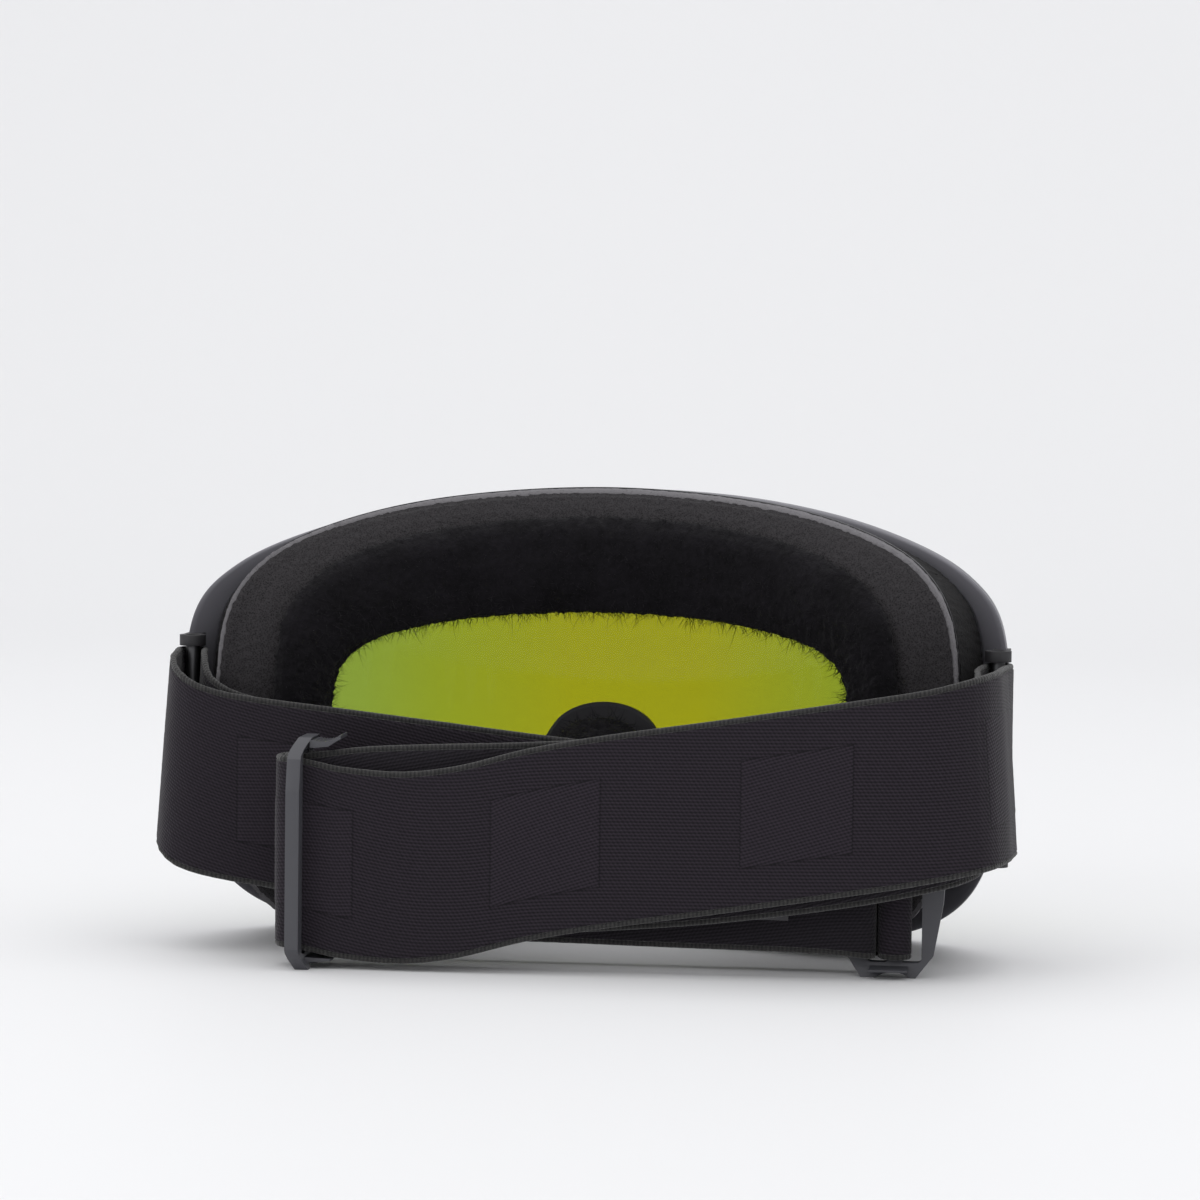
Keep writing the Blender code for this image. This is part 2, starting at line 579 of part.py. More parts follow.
# ---- put the middle of the whole outline over the origin, lowest point on the ground ---------------
bpy.context.view_layer.update()
low = [min((o.matrix_world @ v.co)[k] for o in MAIN.objects for v in o.data.vertices) for k in range(3)]
high = [max((o.matrix_world @ v.co)[k] for o in MAIN.objects for v in o.data.vertices) for k in range(3)]
shift = Vector((-(low[0] + high[0]) / 2, -(low[1] + high[1]) / 2, -low[2]))
for obj in MAIN.objects:
    obj.location = obj.location + shift
bpy.context.view_layer.update()
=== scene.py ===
"""Looks of the ski goggles: folded strap, foam layers, panes, studio floor and camera."""

import math
import random

import bpy
import bmesh
import numpy as np
from mathutils import Matrix, Vector, noise

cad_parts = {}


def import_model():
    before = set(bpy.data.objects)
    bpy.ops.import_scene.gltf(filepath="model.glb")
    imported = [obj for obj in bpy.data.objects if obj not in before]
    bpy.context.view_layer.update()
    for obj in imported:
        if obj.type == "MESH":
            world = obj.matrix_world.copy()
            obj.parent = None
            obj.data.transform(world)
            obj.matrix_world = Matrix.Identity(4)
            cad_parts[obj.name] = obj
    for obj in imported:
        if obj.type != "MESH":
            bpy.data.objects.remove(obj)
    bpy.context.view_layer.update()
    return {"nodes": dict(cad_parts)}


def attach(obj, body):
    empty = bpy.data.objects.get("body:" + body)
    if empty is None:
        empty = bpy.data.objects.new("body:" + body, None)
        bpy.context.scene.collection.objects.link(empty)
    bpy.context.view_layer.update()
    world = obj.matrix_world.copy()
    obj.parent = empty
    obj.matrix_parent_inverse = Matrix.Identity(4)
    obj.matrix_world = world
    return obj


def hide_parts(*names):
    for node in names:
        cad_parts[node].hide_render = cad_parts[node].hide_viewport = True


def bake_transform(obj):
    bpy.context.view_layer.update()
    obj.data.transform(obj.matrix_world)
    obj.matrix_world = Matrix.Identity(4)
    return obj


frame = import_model()

MM = 0.001
SHIFT_Y = 9.6             # the model's own origin lies this far behind the row frame's, mm
FINE = 300                # stations round half of the goggle outline

# outlines (half width, top, cheek, nose arch height, arch radius), the same as in the CAD
RIM_OUT = (88.3, 96.4, 0.4, 33.0, 17.0, 1.1)
POCKET = (87.2, 95.7, 1.1, 33.8, 16.2, 1.1)
RIM_IN = (81.6, 94.0, 5.2, 39.0, 14.3, 1.1)
LENS_OUT = (86.9, 95.3, 1.5, 34.2, 15.9, 1.1)
LENS_IN = (79.2, 91.2, 8.0, 42.0, 13.2, 1.1)
SEAL_IN = (76.2, 88.4, 10.8, 44.5, 12.2, 1.1)
SKIRT_FRONT_OUT = (80.9, 93.2, 5.8, 39.6, 14.0, 0.8)
SKIRT_FRONT_IN = (79.3, 91.4, 7.6, 41.6, 13.4, 0.8)
SKIRT_BACK_OUT = (76.8, 94.0, 4.8, 38.6, 14.2, 0.0)
SKIRT_BACK_IN = (75.0, 92.2, 6.6, 40.4, 13.6, 0.0)
FLANGE_OUT = (78.4, 97.5, 0.8, 34.5, 14.4, 0.0)
FLANGE_IN = (58.5, 75.5, 22.0, 50.2, 15.6, 0.0)
GREY_OUT = (78.2, 97.3, 1.0, 34.8, 14.2, 0.0)
SPECK_OUT = (74.4, 95.8, 3.6, 35.6, 13.0, 0.0)
FLEECE_OUT = (65.4, 91.4, 9.0, 37.6, 11.6, 0.0)
RIDGE_OUT = (61.5, 87.0, 14.0, 40.0, 10.8, 0.0)
RIDGE_IN = (55.4, 71.8, 25.0, 45.0, 12.2, 0.0)
FOAM_IN = (57.6, 74.2, 23.2, 46.4, 10.2, 0.0)
FLEECE_IN = (54.9, 71.0, 25.8, 48.4, 12.8, 0.0)
BACK_TOP = 12.0
SWEEP_LENS = 108.0
SWEEP_FLANGE = 106.0
SWEEP_OPENING = 87.0
RIM_SEAT_Y = 37.4
RIM_BACK_Y = 33.0
LENS_THICK = 1.2
LENS_SPACE = 3.6
FLANGE_THICK = 2.0
GAP = 0.3
WEB_W = 39.6
WEB_T = 1.4


def half_outline(dims):
    """Control points from the brow centre, out over the cheek and up into the nose arch."""
    w, top, low, nose, arch, corner = dims
    h = top - low
    pts = [(0.0, top), (0.30 * w, low + 0.988 * h), (0.56 * w, low + 0.957 * h - 0.6 * corner)]
    pts += [(0.77 * w, low + 0.904 * h - 1.1 * corner), (0.90 * w, low + 0.838 * h - corner)]
    pts += [(0.975 * w, low + 0.74 * h), (1.0 * w, low + 0.59 * h)]
    pts += [(0.995 * w, low + 0.42 * h), (0.955 * w, low + 0.20 * h + 0.7 * corner)]
    pts += [(0.87 * w, low + 0.07 * h + 1.1 * corner), (0.72 * w, low + 0.006 * h + 0.4 * corner)]
    pts += [(0.54 * w, low), (0.39 * w, low + 0.05 * h)]
    pts += [(0.75 * arch + 0.115 * w, low + 0.42 * (nose - low))]
    pts += [(0.97 * arch, nose - 0.82 * arch), (0.58 * arch, nose - 0.19 * arch), (0.0, nose)]
    return pts


def catmull(p, a, b, q, f):
    """One Catmull-Rom span between a and b, as tuples."""
    out = []
    for k in range(len(a)):
        value = 2 * a[k] + (b[k] - p[k]) * f
        value += (2 * p[k] - 5 * a[k] + 4 * b[k] - q[k]) * f * f
        value += (3 * a[k] - p[k] - 3 * b[k] + q[k]) * f * f * f
        out.append(0.5 * value)
    return out


def outline_at(points, t):
    last = len(points) - 1
    pos = min(max(t * last, 0.0), last - 1e-9)
    i = int(pos)
    p = points[i - 1] if i > 0 else (-points[1][0], points[1][1])
    q = points[i + 2] if i + 2 <= last else (-points[last - 1][0], points[last - 1][1])
    return catmull(p, points[i], points[i + 1], q, pos - i)


def sweep_y(apex, radius, x):
    return apex + SHIFT_Y - (radius - math.sqrt(radius * radius - min(abs(x), radius - 1.0) ** 2))


def grown(dims, by):
    return (dims[0] + by, dims[1] + by, dims[2] - by, dims[3] - by, dims[4] - by, dims[5])


def between(a, b, share):
    return tuple(a[k] + (b[k] - a[k]) * share for k in range(6))


def mesh_object(name, verts, faces, smooth=True):
    """verts in millimetres."""
    mesh = bpy.data.meshes.new(name)
    mesh.from_pydata([(x * MM, y * MM, z * MM) for x, y, z in verts], [], faces)
    bm = bmesh.new()
    bm.from_mesh(mesh)
    bmesh.ops.recalc_face_normals(bm, faces=bm.faces)
    bm.to_mesh(mesh)
    bm.free()
    for poly in mesh.polygons:
        poly.use_smooth = smooth
    obj = bpy.data.objects.new(name, mesh)
    bpy.context.scene.collection.objects.link(obj)
    return obj


def even_stations(dims, start, end, steps):
    """Outline parameters spaced evenly along the length of one outline."""
    pts = half_outline(dims)
    fine = 1200
    ts = [start + (end - start) * i / fine for i in range(fine + 1)]
    at = [outline_at(pts, t) for t in ts]
    run = [0.0]
    for a, b in zip(at, at[1:]):
        run.append(run[-1] + math.hypot(b[0] - a[0], b[1] - a[1]))
    return list(np.interp([run[-1] * i / steps for i in range(steps + 1)], run, ts))


def ring(name, section, start=0.0, end=1.0, steps=FINE, side=0, spread=None, warp=None):
    """Closed section swept round the outline; side 0 makes both halves as one piece."""
    controls = [half_outline(dims) for dims, _, _ in section]
    ts = even_stations(spread or section[0][0], start, end, steps)
    rows = []
    for i, t in enumerate(ts):
        row = []
        for (dims, apex, radius), pts in zip(section, controls):
            x, z = outline_at(pts, t)
            if side == 0 and ((i == 0 and start == 0.0) or (i == steps and end == 1.0)):
                x = 0.0
            row.append((x, sweep_y(apex, radius, x), z))
        rows.append(row)
    if side == 0:
        other = [[(-x, y, z) for x, y, z in row] for row in rows]
        if end == 1.0:
            rows = rows + other[-2:0:-1]
        else:
            rows = other[:0:-1] + rows
    elif side < 0:
        rows = [[(-x, y, z) for x, y, z in row] for row in rows]
    if warp:
        rows = [[warp(p, k) for k, p in enumerate(row)] for row in rows]
    closed = side == 0 and end == 1.0
    n = len(section)
    verts = [p for row in rows for p in row]
    faces = []
    count = len(rows)
    for i in range(count if closed else count - 1):
        j = (i + 1) % count
        for k in range(n):
            m = (k + 1) % n
            faces.append((i * n + k, i * n + m, j * n + m, j * n + k))
    if not closed:
        faces.append(tuple(range(n - 1, -1, -1)))
        faces.append(tuple(range((count - 1) * n, count * n)))
    return mesh_object(name, verts, faces)


def soften(obj, degrees=35.0, bevel=0.0, segments=2):
    if bevel > 0:
        mod = obj.modifiers.new("edges", "BEVEL")
        mod.width = bevel * MM
        mod.segments = segments
        mod.limit_method = "ANGLE"
        mod.angle_limit = math.radians(degrees)
        bake(obj)
    for poly in obj.data.polygons:
        poly.use_smooth = True
    obj.data.set_sharp_from_angle(angle=math.radians(degrees))
    return obj


def bake(obj):
    bpy.context.view_layer.update()
    graph = bpy.context.evaluated_depsgraph_get()
    mesh = bpy.data.meshes.new_from_object(obj.evaluated_get(graph))
    obj.modifiers.clear()
    obj.data = mesh
    return obj


def put(obj, mat, body, slot_name, *cad):
    obj.data.materials.clear()
    obj.data.materials.append(mat)
    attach(obj, body)
    if cad:
        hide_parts(*cad)
    return obj


# ---- materials ------------------------------------------------------------------------------
def srgb(r, g, b):
    """Linear colour for a displayed 0-255 colour."""
    out = []
    for v in (r, g, b):
        c = v / 255.0
        out.append(c / 12.92 if c <= 0.04045 else ((c + 0.055) / 1.055) ** 2.4)
    return (out[0], out[1], out[2], 1.0)


class Nodes:
    """Small helper that builds a node tree by name."""

    def __init__(self, name):
        self.mat = bpy.data.materials.new(name)
        self.mat.use_nodes = True
        self.tree = self.mat.node_tree
        self.shader = self.tree.nodes["Principled BSDF"]
        self.out = self.tree.nodes["Material Output"]

    def add(self, kind, **values):
        node = self.tree.nodes.new(kind)
        for key, value in values.items():
            if key in node.inputs:
                node.inputs[key].default_value = value
            else:
                setattr(node, key, value)
        return node

    def link(self, a, b):
        self.tree.links.new(a, b)

    def math(self, operation, a, b=None, clamp=False):
        node = self.tree.nodes.new("ShaderNodeMath")
        node.operation = operation
        node.use_clamp = clamp
        for slot, value in enumerate((a, b)):
            if value is None:
                continue
            if isinstance(value, (int, float)):
                node.inputs[slot].default_value = value
            else:
                self.link(value, node.inputs[slot])
        return node.outputs[0]

    def ramp(self, fac, stops):
        node = self.tree.nodes.new("ShaderNodeValToRGB")
        while len(node.color_ramp.elements) < len(stops):
            node.color_ramp.elements.new(0.5)
        for element, (pos, color) in zip(node.color_ramp.elements, stops):
            element.position = pos
            element.color = color
        self.link(fac, node.inputs["Fac"])
        return node.outputs["Color"]

    def coords(self):
        return self.add("ShaderNodeTexCoord").outputs["Object"]

    def bump(self, height, strength, distance, normal=None):
        node = self.add("ShaderNodeBump", Strength=strength, Distance=distance)
        self.link(height, node.inputs["Height"])
        if normal is not None:
            self.link(normal, node.inputs["Normal"])
        return node.outputs["Normal"]


def plastic(name, color, rough, grain=0.06, scale=2600.0):
    m = Nodes(name)
    m.shader.inputs["Base Color"].default_value = color
    fine = m.add("ShaderNodeTexNoise", Scale=scale, Detail=3.0)
    m.link(m.coords(), fine.inputs["Vector"])
    wear = m.add("ShaderNodeTexNoise", Scale=90.0, Detail=5.0)
    m.link(m.coords(), wear.inputs["Vector"])
    spread = m.math("MULTIPLY", m.math("SUBTRACT", wear.outputs["Fac"], 0.5), 0.22)
    m.link(m.math("ADD", spread, rough), m.shader.inputs["Roughness"])
    m.link(m.bump(fine.outputs["Fac"], grain, 0.0002), m.shader.inputs["Normal"])
    return m.mat


def foam(name, dark, light, cell, contrast, bump=0.5, middle=0.5):
    """Open-cell foam: small pits with brighter cell walls. The colour follows the bump height, so the pits are painted
    shade; the fine noise is the foam's own random tone.
    """
    m = Nodes(name)
    cells = m.add("ShaderNodeTexVoronoi", Scale=1.0 / cell, feature="F1")
    m.link(m.coords(), cells.inputs["Vector"])
    fine = m.add("ShaderNodeTexNoise", Scale=1.7 / cell, Detail=3.0, Roughness=0.7)
    m.link(m.coords(), fine.inputs["Vector"])
    mixed = m.math("ADD", m.math("MULTIPLY", cells.outputs["Distance"], 0.45), fine.outputs["Fac"])
    # pits painted darker than the cell walls: painted shade
    color = m.ramp(mixed, [(middle - contrast, dark), (middle + contrast, light)])
    m.link(color, m.shader.inputs["Base Color"])
    m.shader.inputs["Roughness"].default_value = 0.97
    m.shader.inputs["Specular IOR Level"].default_value = 0.15
    m.shader.inputs["Sheen Weight"].default_value = 0.03
    m.link(m.bump(mixed, bump, cell * 0.5), m.shader.inputs["Normal"])
    return m.mat


def fleece(name, dark, light):
    m = Nodes(name)
    soft = m.add("ShaderNodeTexNoise", Scale=900.0, Detail=4.0, Roughness=0.75)
    m.link(m.coords(), soft.inputs["Vector"])
    broad = m.add("ShaderNodeTexNoise", Scale=120.0, Detail=3.0)
    m.link(m.coords(), broad.inputs["Vector"])
    mixed = m.math("ADD", m.math("MULTIPLY", soft.outputs["Fac"], 0.6), m.math("MULTIPLY", broad.outputs["Fac"], 0.4))
    m.link(m.ramp(mixed, [(0.35, dark), (0.68, light)]), m.shader.inputs["Base Color"])
    m.shader.inputs["Roughness"].default_value = 1.0
    m.shader.inputs["Specular IOR Level"].default_value = 0.05
    m.shader.inputs["Sheen Weight"].default_value = 0.05
    m.shader.inputs["Sheen Roughness"].default_value = 0.6
    m.link(m.bump(mixed, 0.8, 0.0008), m.shader.inputs["Normal"])
    return m.mat


# Rim plastic lightened far past the charcoal of its lugs and the frame: partly the rim's own lighter tone, partly
# painted light that makes up for the shade the strap and foam cast on it.
rim_painted_light_mat = plastic("rim charcoal", srgb(110, 109, 115), 0.5)
lug_mat = plastic("lug charcoal", srgb(40, 39, 42), 0.6)
frame_mat = plastic("frame charcoal", srgb(44, 43, 46), 0.55)
slider_mat = plastic("slider charcoal", srgb(65, 65, 70), 0.48)
grey_mat = foam("grey foam", srgb(80, 79, 80), srgb(112, 110, 113), 0.0006, 0.20, 0.35)
speck_mat = foam("speckled foam", srgb(12, 11, 12), srgb(52, 50, 52), 0.00038, 0.17, 0.5, 0.62)
vent_mat = foam("vent foam", srgb(8, 8, 9), srgb(29, 28, 29), 0.0008, 0.2, 0.6)
fleece_mat = fleece("fleece", srgb(11, 10, 12), srgb(26, 24, 28))


BLOCK_PITCH = 52.0
BLOCK_HALF = (11.5, 11.0)      # half length and half height of a woven block


def weave(name, dark, light, raised=True):
    """Twill webbing; the UV map holds millimetres along and across the strap. The colour follows the relief height:
    the twill valleys and the groove round each block are painted shade, the raised blocks get a touch of painted
    light; the twill and blocks themselves are woven.
    """
    m = Nodes(name)
    uv = m.add("ShaderNodeUVMap", uv_map="weave")
    split = m.add("ShaderNodeSeparateXYZ")
    m.link(uv.outputs["UV"], split.inputs["Vector"])
    u = m.math("MULTIPLY", split.outputs["X"], 1000.0)
    v = m.math("MULTIPLY", split.outputs["Y"], 1000.0)
    # plain raised blocks at a fixed pitch: outside them the twill leans one way, inside the other
    cell = m.math("FLOORED_MODULO", u, BLOCK_PITCH)
    from_middle = m.math("ABSOLUTE", m.math("SUBTRACT", cell, BLOCK_PITCH / 2))
    side_gap = m.math("SUBTRACT", from_middle, BLOCK_HALF[0])
    high_gap = m.math("SUBTRACT", m.math("ABSOLUTE", v), BLOCK_HALF[1])
    gap = m.math("MAXIMUM", side_gap, high_gap)
    inside = m.math("MULTIPLY", m.math("LESS_THAN", gap, 0.0), 1.0 if raised else 0.0)
    block_groove = m.math("SUBTRACT", 1.0, m.math("MULTIPLY", m.math("ABSOLUTE", gap), 3.4), True)
    lean = m.math("SUBTRACT", 0.20, m.math("MULTIPLY", inside, 0.40))
    rows = m.math("ADD", m.math("MULTIPLY", v, 1.42), m.math("MULTIPLY", u, lean))
    row_wave = m.math("SINE", m.math("MULTIPLY", rows, 2 * math.pi))
    picks = m.math("ADD", m.math("MULTIPLY", u, 1.2), m.math("MULTIPLY", v, 0.7))
    pick_wave = m.math("SINE", m.math("MULTIPLY", picks, 2 * math.pi))
    height = m.math("ADD", m.math("MULTIPLY", row_wave, 0.25), 0.5)
    height = m.math("ADD", height, m.math("MULTIPLY", pick_wave, 0.14))
    fuzz = m.add("ShaderNodeTexNoise", Scale=2200.0, Detail=3.0, Roughness=0.7)
    m.link(m.coords(), fuzz.inputs["Vector"])
    height = m.math("ADD", height, m.math("MULTIPLY", m.math("SUBTRACT", fuzz.outputs["Fac"], 0.5), 0.55))
    if raised:
        # the groove round each block is painted darker as shade, the block itself a touch lighter as painted light
        height = m.math("SUBTRACT", height, m.math("MULTIPLY", block_groove, 0.35))
        height = m.math("ADD", height, m.math("MULTIPLY", inside, 0.08))
    # the colour follows this height, so the twill valleys come out darker: painted shade
    m.link(m.ramp(height, [(0.15, dark), (0.95, light)]), m.shader.inputs["Base Color"])
    m.shader.inputs["Roughness"].default_value = 0.9
    m.shader.inputs["Specular IOR Level"].default_value = 0.2
    m.shader.inputs["Sheen Weight"].default_value = 0.12
    m.shader.inputs["Sheen Roughness"].default_value = 0.45
    m.link(m.bump(height, 0.55, 0.0003), m.shader.inputs["Normal"])
    return m.mat


def cord(name, dark, light):
    m = Nodes(name)
    uv = m.add("ShaderNodeUVMap", uv_map="weave")
    split = m.add("ShaderNodeSeparateXYZ")
    m.link(uv.outputs["UV"], split.inputs["Vector"])
    u = m.math("MULTIPLY", split.outputs["X"], 1000.0)
    turns = m.math("SINE", m.math("MULTIPLY", u, 2 * math.pi / 0.85))
    fuzz = m.add("ShaderNodeTexNoise", Scale=1800.0, Detail=3.0, Roughness=0.7)
    m.link(m.coords(), fuzz.inputs["Vector"])
    height = m.math("ADD", m.math("MULTIPLY", turns, 0.22), fuzz.outputs["Fac"])
    # the colour follows the height of the turns, so the gaps between them are painted shade; the fuzz noise is the
    # cord's own random tone
    m.link(m.ramp(height, [(0.25, dark), (0.8, light)]), m.shader.inputs["Base Color"])
    m.shader.inputs["Roughness"].default_value = 0.95
    m.shader.inputs["Sheen Weight"].default_value = 0.2
    m.link(m.bump(height, 0.6, 0.0003), m.shader.inputs["Normal"])
    return m.mat


def tinted(name, stops, gloss, gloss_color, rough, mirror_front=0.0):
    """See-through pane; stops colour it across x, gloss is the share that mirrors."""
    m = Nodes(name)
    m.tree.nodes.remove(m.shader)
    split = m.add("ShaderNodeSeparateXYZ")
    m.link(m.coords(), split.inputs["Vector"])
    across = m.math("MULTIPLY", m.math("ADD", split.outputs["X"], 0.09), 1.0 / 0.18, True)
    clear = m.add("ShaderNodeBsdfTransparent")
    m.link(m.ramp(across, stops), clear.inputs["Color"])
    shine = m.add("ShaderNodeBsdfGlossy", Roughness=rough, Color=gloss_color)
    fresnel = m.add("ShaderNodeFresnel", IOR=1.45)
    share = m.math("ADD", m.math("MULTIPLY", fresnel.outputs["Fac"], gloss), 0.0)
    if mirror_front > 0:
        seen = m.add("ShaderNodeNewGeometry")
        facing = m.add("ShaderNodeSeparateXYZ")
        m.link(seen.outputs["True Normal"], facing.inputs["Vector"])
        outward = m.math("GREATER_THAN", facing.outputs["Y"], 0.0)
        front = m.math("MULTIPLY", outward, m.math("SUBTRACT", 1.0, seen.outputs["Backfacing"]))
        share = m.math("ADD", share, m.math("MULTIPLY", front, mirror_front), True)
    mix = m.add("ShaderNodeMixShader")
    m.link(share, mix.inputs["Fac"])
    m.link(clear.outputs["BSDF"], mix.inputs[1])
    m.link(shine.outputs["BSDF"], mix.inputs[2])
    m.link(mix.outputs["Shader"], m.out.inputs["Surface"])
    return m.mat


web_mat = weave("webbing", srgb(16, 13, 18), srgb(47, 41, 49))
inner_web_mat = weave("webbing inner", srgb(15, 13, 17), srgb(40, 36, 42), False)
cord_mat = cord("webbing edge cord", srgb(19, 18, 20), srgb(48, 47, 46))

# ---- rim -----------------------------------------------------------------------------------------


def rim_point(share, y):
    return (between(RIM_OUT, RIM_IN, share), y, SWEEP_LENS)


rim_section = [
    rim_point(0.10, 39.95), rim_point(0.02, 39.6), rim_point(0.0, 39.0), rim_point(0.0, 34.2),
    rim_point(0.02, 33.5), rim_point(0.09, 33.1), rim_point(0.20, 33.0), rim_point(0.74, 33.0),
    rim_point(0.79, 33.15), rim_point(0.83, 33.9), rim_point(0.88, 33.9), rim_point(0.90, 32.7),
    rim_point(0.93, 32.3), rim_point(0.98, 32.3), rim_point(1.0, 32.7), rim_point(1.0, RIM_SEAT_Y),
    (POCKET, RIM_SEAT_Y, SWEEP_LENS), (POCKET, 39.8, SWEEP_LENS)]
rim = ring("rim_ring", rim_section)
soften(rim, 50.0)
put(rim, rim_painted_light_mat, "goggles", "rim", "lens_rim")


def solid_from(name, parts, body, mat, slot_name, bevel=0.25, cuts=()):
    """One solid: parts joined and cuts taken away, edges rounded."""
    base = parts[0]
    for other, kind in [(p, "UNION") for p in parts[1:]] + [(c, "DIFFERENCE") for c in cuts]:
        mod = base.modifiers.new("part", "BOOLEAN")
        mod.operation = kind
        mod.solver = "EXACT"
        mod.object = other
        bake(base)
        bpy.data.objects.remove(other, do_unlink=True)
    base.name = name
    soften(base, 32.0, bevel, 3)
    return put(base, mat, body, slot_name)


def block(centre, size, turn=(0, 0, 0)):
    bpy.ops.mesh.primitive_cube_add(size=1.0)
    obj = bpy.context.active_object
    obj.data.transform(Matrix.Diagonal((size[0] * MM, size[1] * MM, size[2] * MM, 1)))
    spin = Matrix.Rotation(turn[2], 4, "Z") @ Matrix.Rotation(turn[1], 4, "Y") @ Matrix.Rotation(turn[0], 4, "X")
    obj.data.transform(Matrix.Translation(Vector(centre) * MM) @ spin)
    return obj


def rod(centre, radius, height, segments=40, radius_top=None):
    top = radius if radius_top is None else radius_top
    bpy.ops.mesh.primitive_cone_add(vertices=segments, radius1=radius * MM, radius2=top * MM, depth=height * MM)
    obj = bpy.context.active_object
    obj.data.transform(Matrix.Translation(Vector(centre) * MM))
    return obj


SHIFT_X = 0.12
BAR_X = 85.8
BAR_Y = -15.2 + SHIFT_Y
BAR_R = 1.5
LUG_R = 2.8
LUG_HIGH = 2.3
LUG_TOP_Z = 64.45
LUG_LOW_Z = 21.35
BORE_PLAY = 0.05
for side, word in ((-1, "left"), (1, "right")):
    for low, height in (("top", LUG_TOP_Z), ("low", LUG_LOW_Z)):
        lug = rod((side * BAR_X + SHIFT_X, BAR_Y, height), LUG_R, LUG_HIGH)
        root = block((side * (BAR_X + 0.6) + SHIFT_X, BAR_Y + 4.2, height), (3.6, 8.4, LUG_HIGH))
        bore = rod((side * BAR_X + SHIFT_X, BAR_Y, height), BAR_R + BORE_PLAY, 10.0, 28)
        solid_from("rim_lug_%s_%s" % (low, word), [lug, root], "goggles", lug_mat, "rim", 0.6, [bore])

# ---- panes -------------------------------------------------------------------------------------------


def pane(name, dims, apex, thick, columns=72):
    """Curved pane cut to its outline: rows follow the sweep, so it shades smoothly."""
    pts = half_outline(dims)
    ts = even_stations(dims, 0.0, 1.0, 150)
    half = [outline_at(pts, t) for t in ts]
    half[0][0] = 0.0
    half[-1][0] = 0.0
    loop = [(x, z) for x, z in half] + [(-x, z) for x, z in half[-2:0:-1]]
    bm = bmesh.new()
    bm.faces.new([bm.verts.new((x * MM, 0.0, z * MM)) for x, z in loop])
    for k in range(1, columns):
        at = (-dims[0] + 2 * dims[0] * k / columns) * MM
        geom = bm.verts[:] + bm.edges[:] + bm.faces[:]
        bmesh.ops.bisect_plane(bm, geom=geom, plane_co=(at, 0, 0), plane_no=(1, 0, 0), dist=1e-7)
    for v in bm.verts:
        v.co.y = sweep_y(apex, SWEEP_LENS, v.co.x / MM) * MM
    bmesh.ops.triangulate(bm, faces=bm.faces[:])
    bmesh.ops.recalc_face_normals(bm, faces=bm.faces[:])
    if sum(f.normal.y for f in bm.faces) < 0:
        bmesh.ops.reverse_faces(bm, faces=bm.faces[:])
    mesh = bpy.data.meshes.new(name)
    bm.to_mesh(mesh)
    bm.free()
    obj = bpy.data.objects.new(name, mesh)
    bpy.context.scene.collection.objects.link(obj)
    mod = obj.modifiers.new("thickness", "SOLIDIFY")
    mod.thickness = thick * MM
    mod.offset = -1.0
    bake(obj)
    soften(obj, 40.0)
    return obj


# Pane tint across x: amber-yellow in the middle, greener towards both sides. The greener sides are partly the
# coating's own tint and partly painted light: a painted reflection of the goggle's inside and the deeper tint of the
# longer path through the curved sides.
AMBER_WITH_PAINTED_SIDES = [
    (0.08, (0.52, 0.62, 0.26, 1)), (0.19, (0.53, 0.622, 0.22, 1)), (0.29, (0.56, 0.615, 0.15, 1)),
    (0.44, (0.604, 0.606, 0.112, 1)), (0.60, (0.606, 0.606, 0.112, 1)), (0.76, (0.545, 0.60, 0.16, 1)),
    (0.83, (0.50, 0.59, 0.19, 1)), (0.93, (0.48, 0.585, 0.24, 1))]
outer_mat = tinted("amber pane", AMBER_WITH_PAINTED_SIDES, 0.06, (0.9, 0.95, 0.8, 1), 0.03, 0.32)
inner_mat = tinted("inner pane", [(0.0, (0.985, 0.99, 0.98, 1)), (1.0, (0.985, 0.99, 0.98, 1))], 0.12, (0.9, 1, 0.9, 1), 0.05)
outer_y = RIM_SEAT_Y + GAP + LENS_THICK
put(pane("pane_outer", LENS_OUT, outer_y, LENS_THICK), outer_mat, "goggles", "lens_outer", "lens_outer")
inner_y = outer_y - LENS_THICK - LENS_SPACE
put(pane("pane_inner", LENS_IN, inner_y, LENS_THICK), inner_mat, "goggles", "lens_inner", "lens_inner")
seal_front = outer_y - LENS_THICK - 0.05
seal_back = inner_y + 0.05
seal = ring("pane_seal", [
    (LENS_IN, seal_front, SWEEP_LENS), (LENS_IN, seal_back, SWEEP_LENS),
    (SEAL_IN, seal_back, SWEEP_LENS), (SEAL_IN, seal_front, SWEEP_LENS)])
soften(seal, 40.0)
put(seal, vent_mat, "goggles", "seal", "lens_seal")

# ---- skirt with a rolled lip round the opening -----------------------------------------------------------
skirt_y = RIM_BACK_Y - GAP
skirt = ring("skirt", [
    (SKIRT_FRONT_OUT, skirt_y, SWEEP_LENS),
    (SKIRT_BACK_OUT, BACK_TOP + FLANGE_THICK, SWEEP_FLANGE),
    (FLANGE_OUT, BACK_TOP + FLANGE_THICK, SWEEP_FLANGE),
    (FLANGE_OUT, BACK_TOP, SWEEP_FLANGE),
    (FLANGE_IN, BACK_TOP - 2.0, SWEEP_OPENING),
    (grown(FLANGE_IN, -0.7), BACK_TOP - 1.4, SWEEP_OPENING),
    (grown(FLANGE_IN, -0.7), BACK_TOP - 0.2, SWEEP_OPENING),
    (FLANGE_IN, BACK_TOP + 0.3, SWEEP_OPENING),
    (SKIRT_BACK_IN, BACK_TOP + FLANGE_THICK + 0.4, SWEEP_FLANGE),
    (SKIRT_FRONT_IN, skirt_y, SWEEP_LENS)])
soften(skirt, 40.0)
put(skirt, frame_mat, "goggles", "frame", "face_frame")

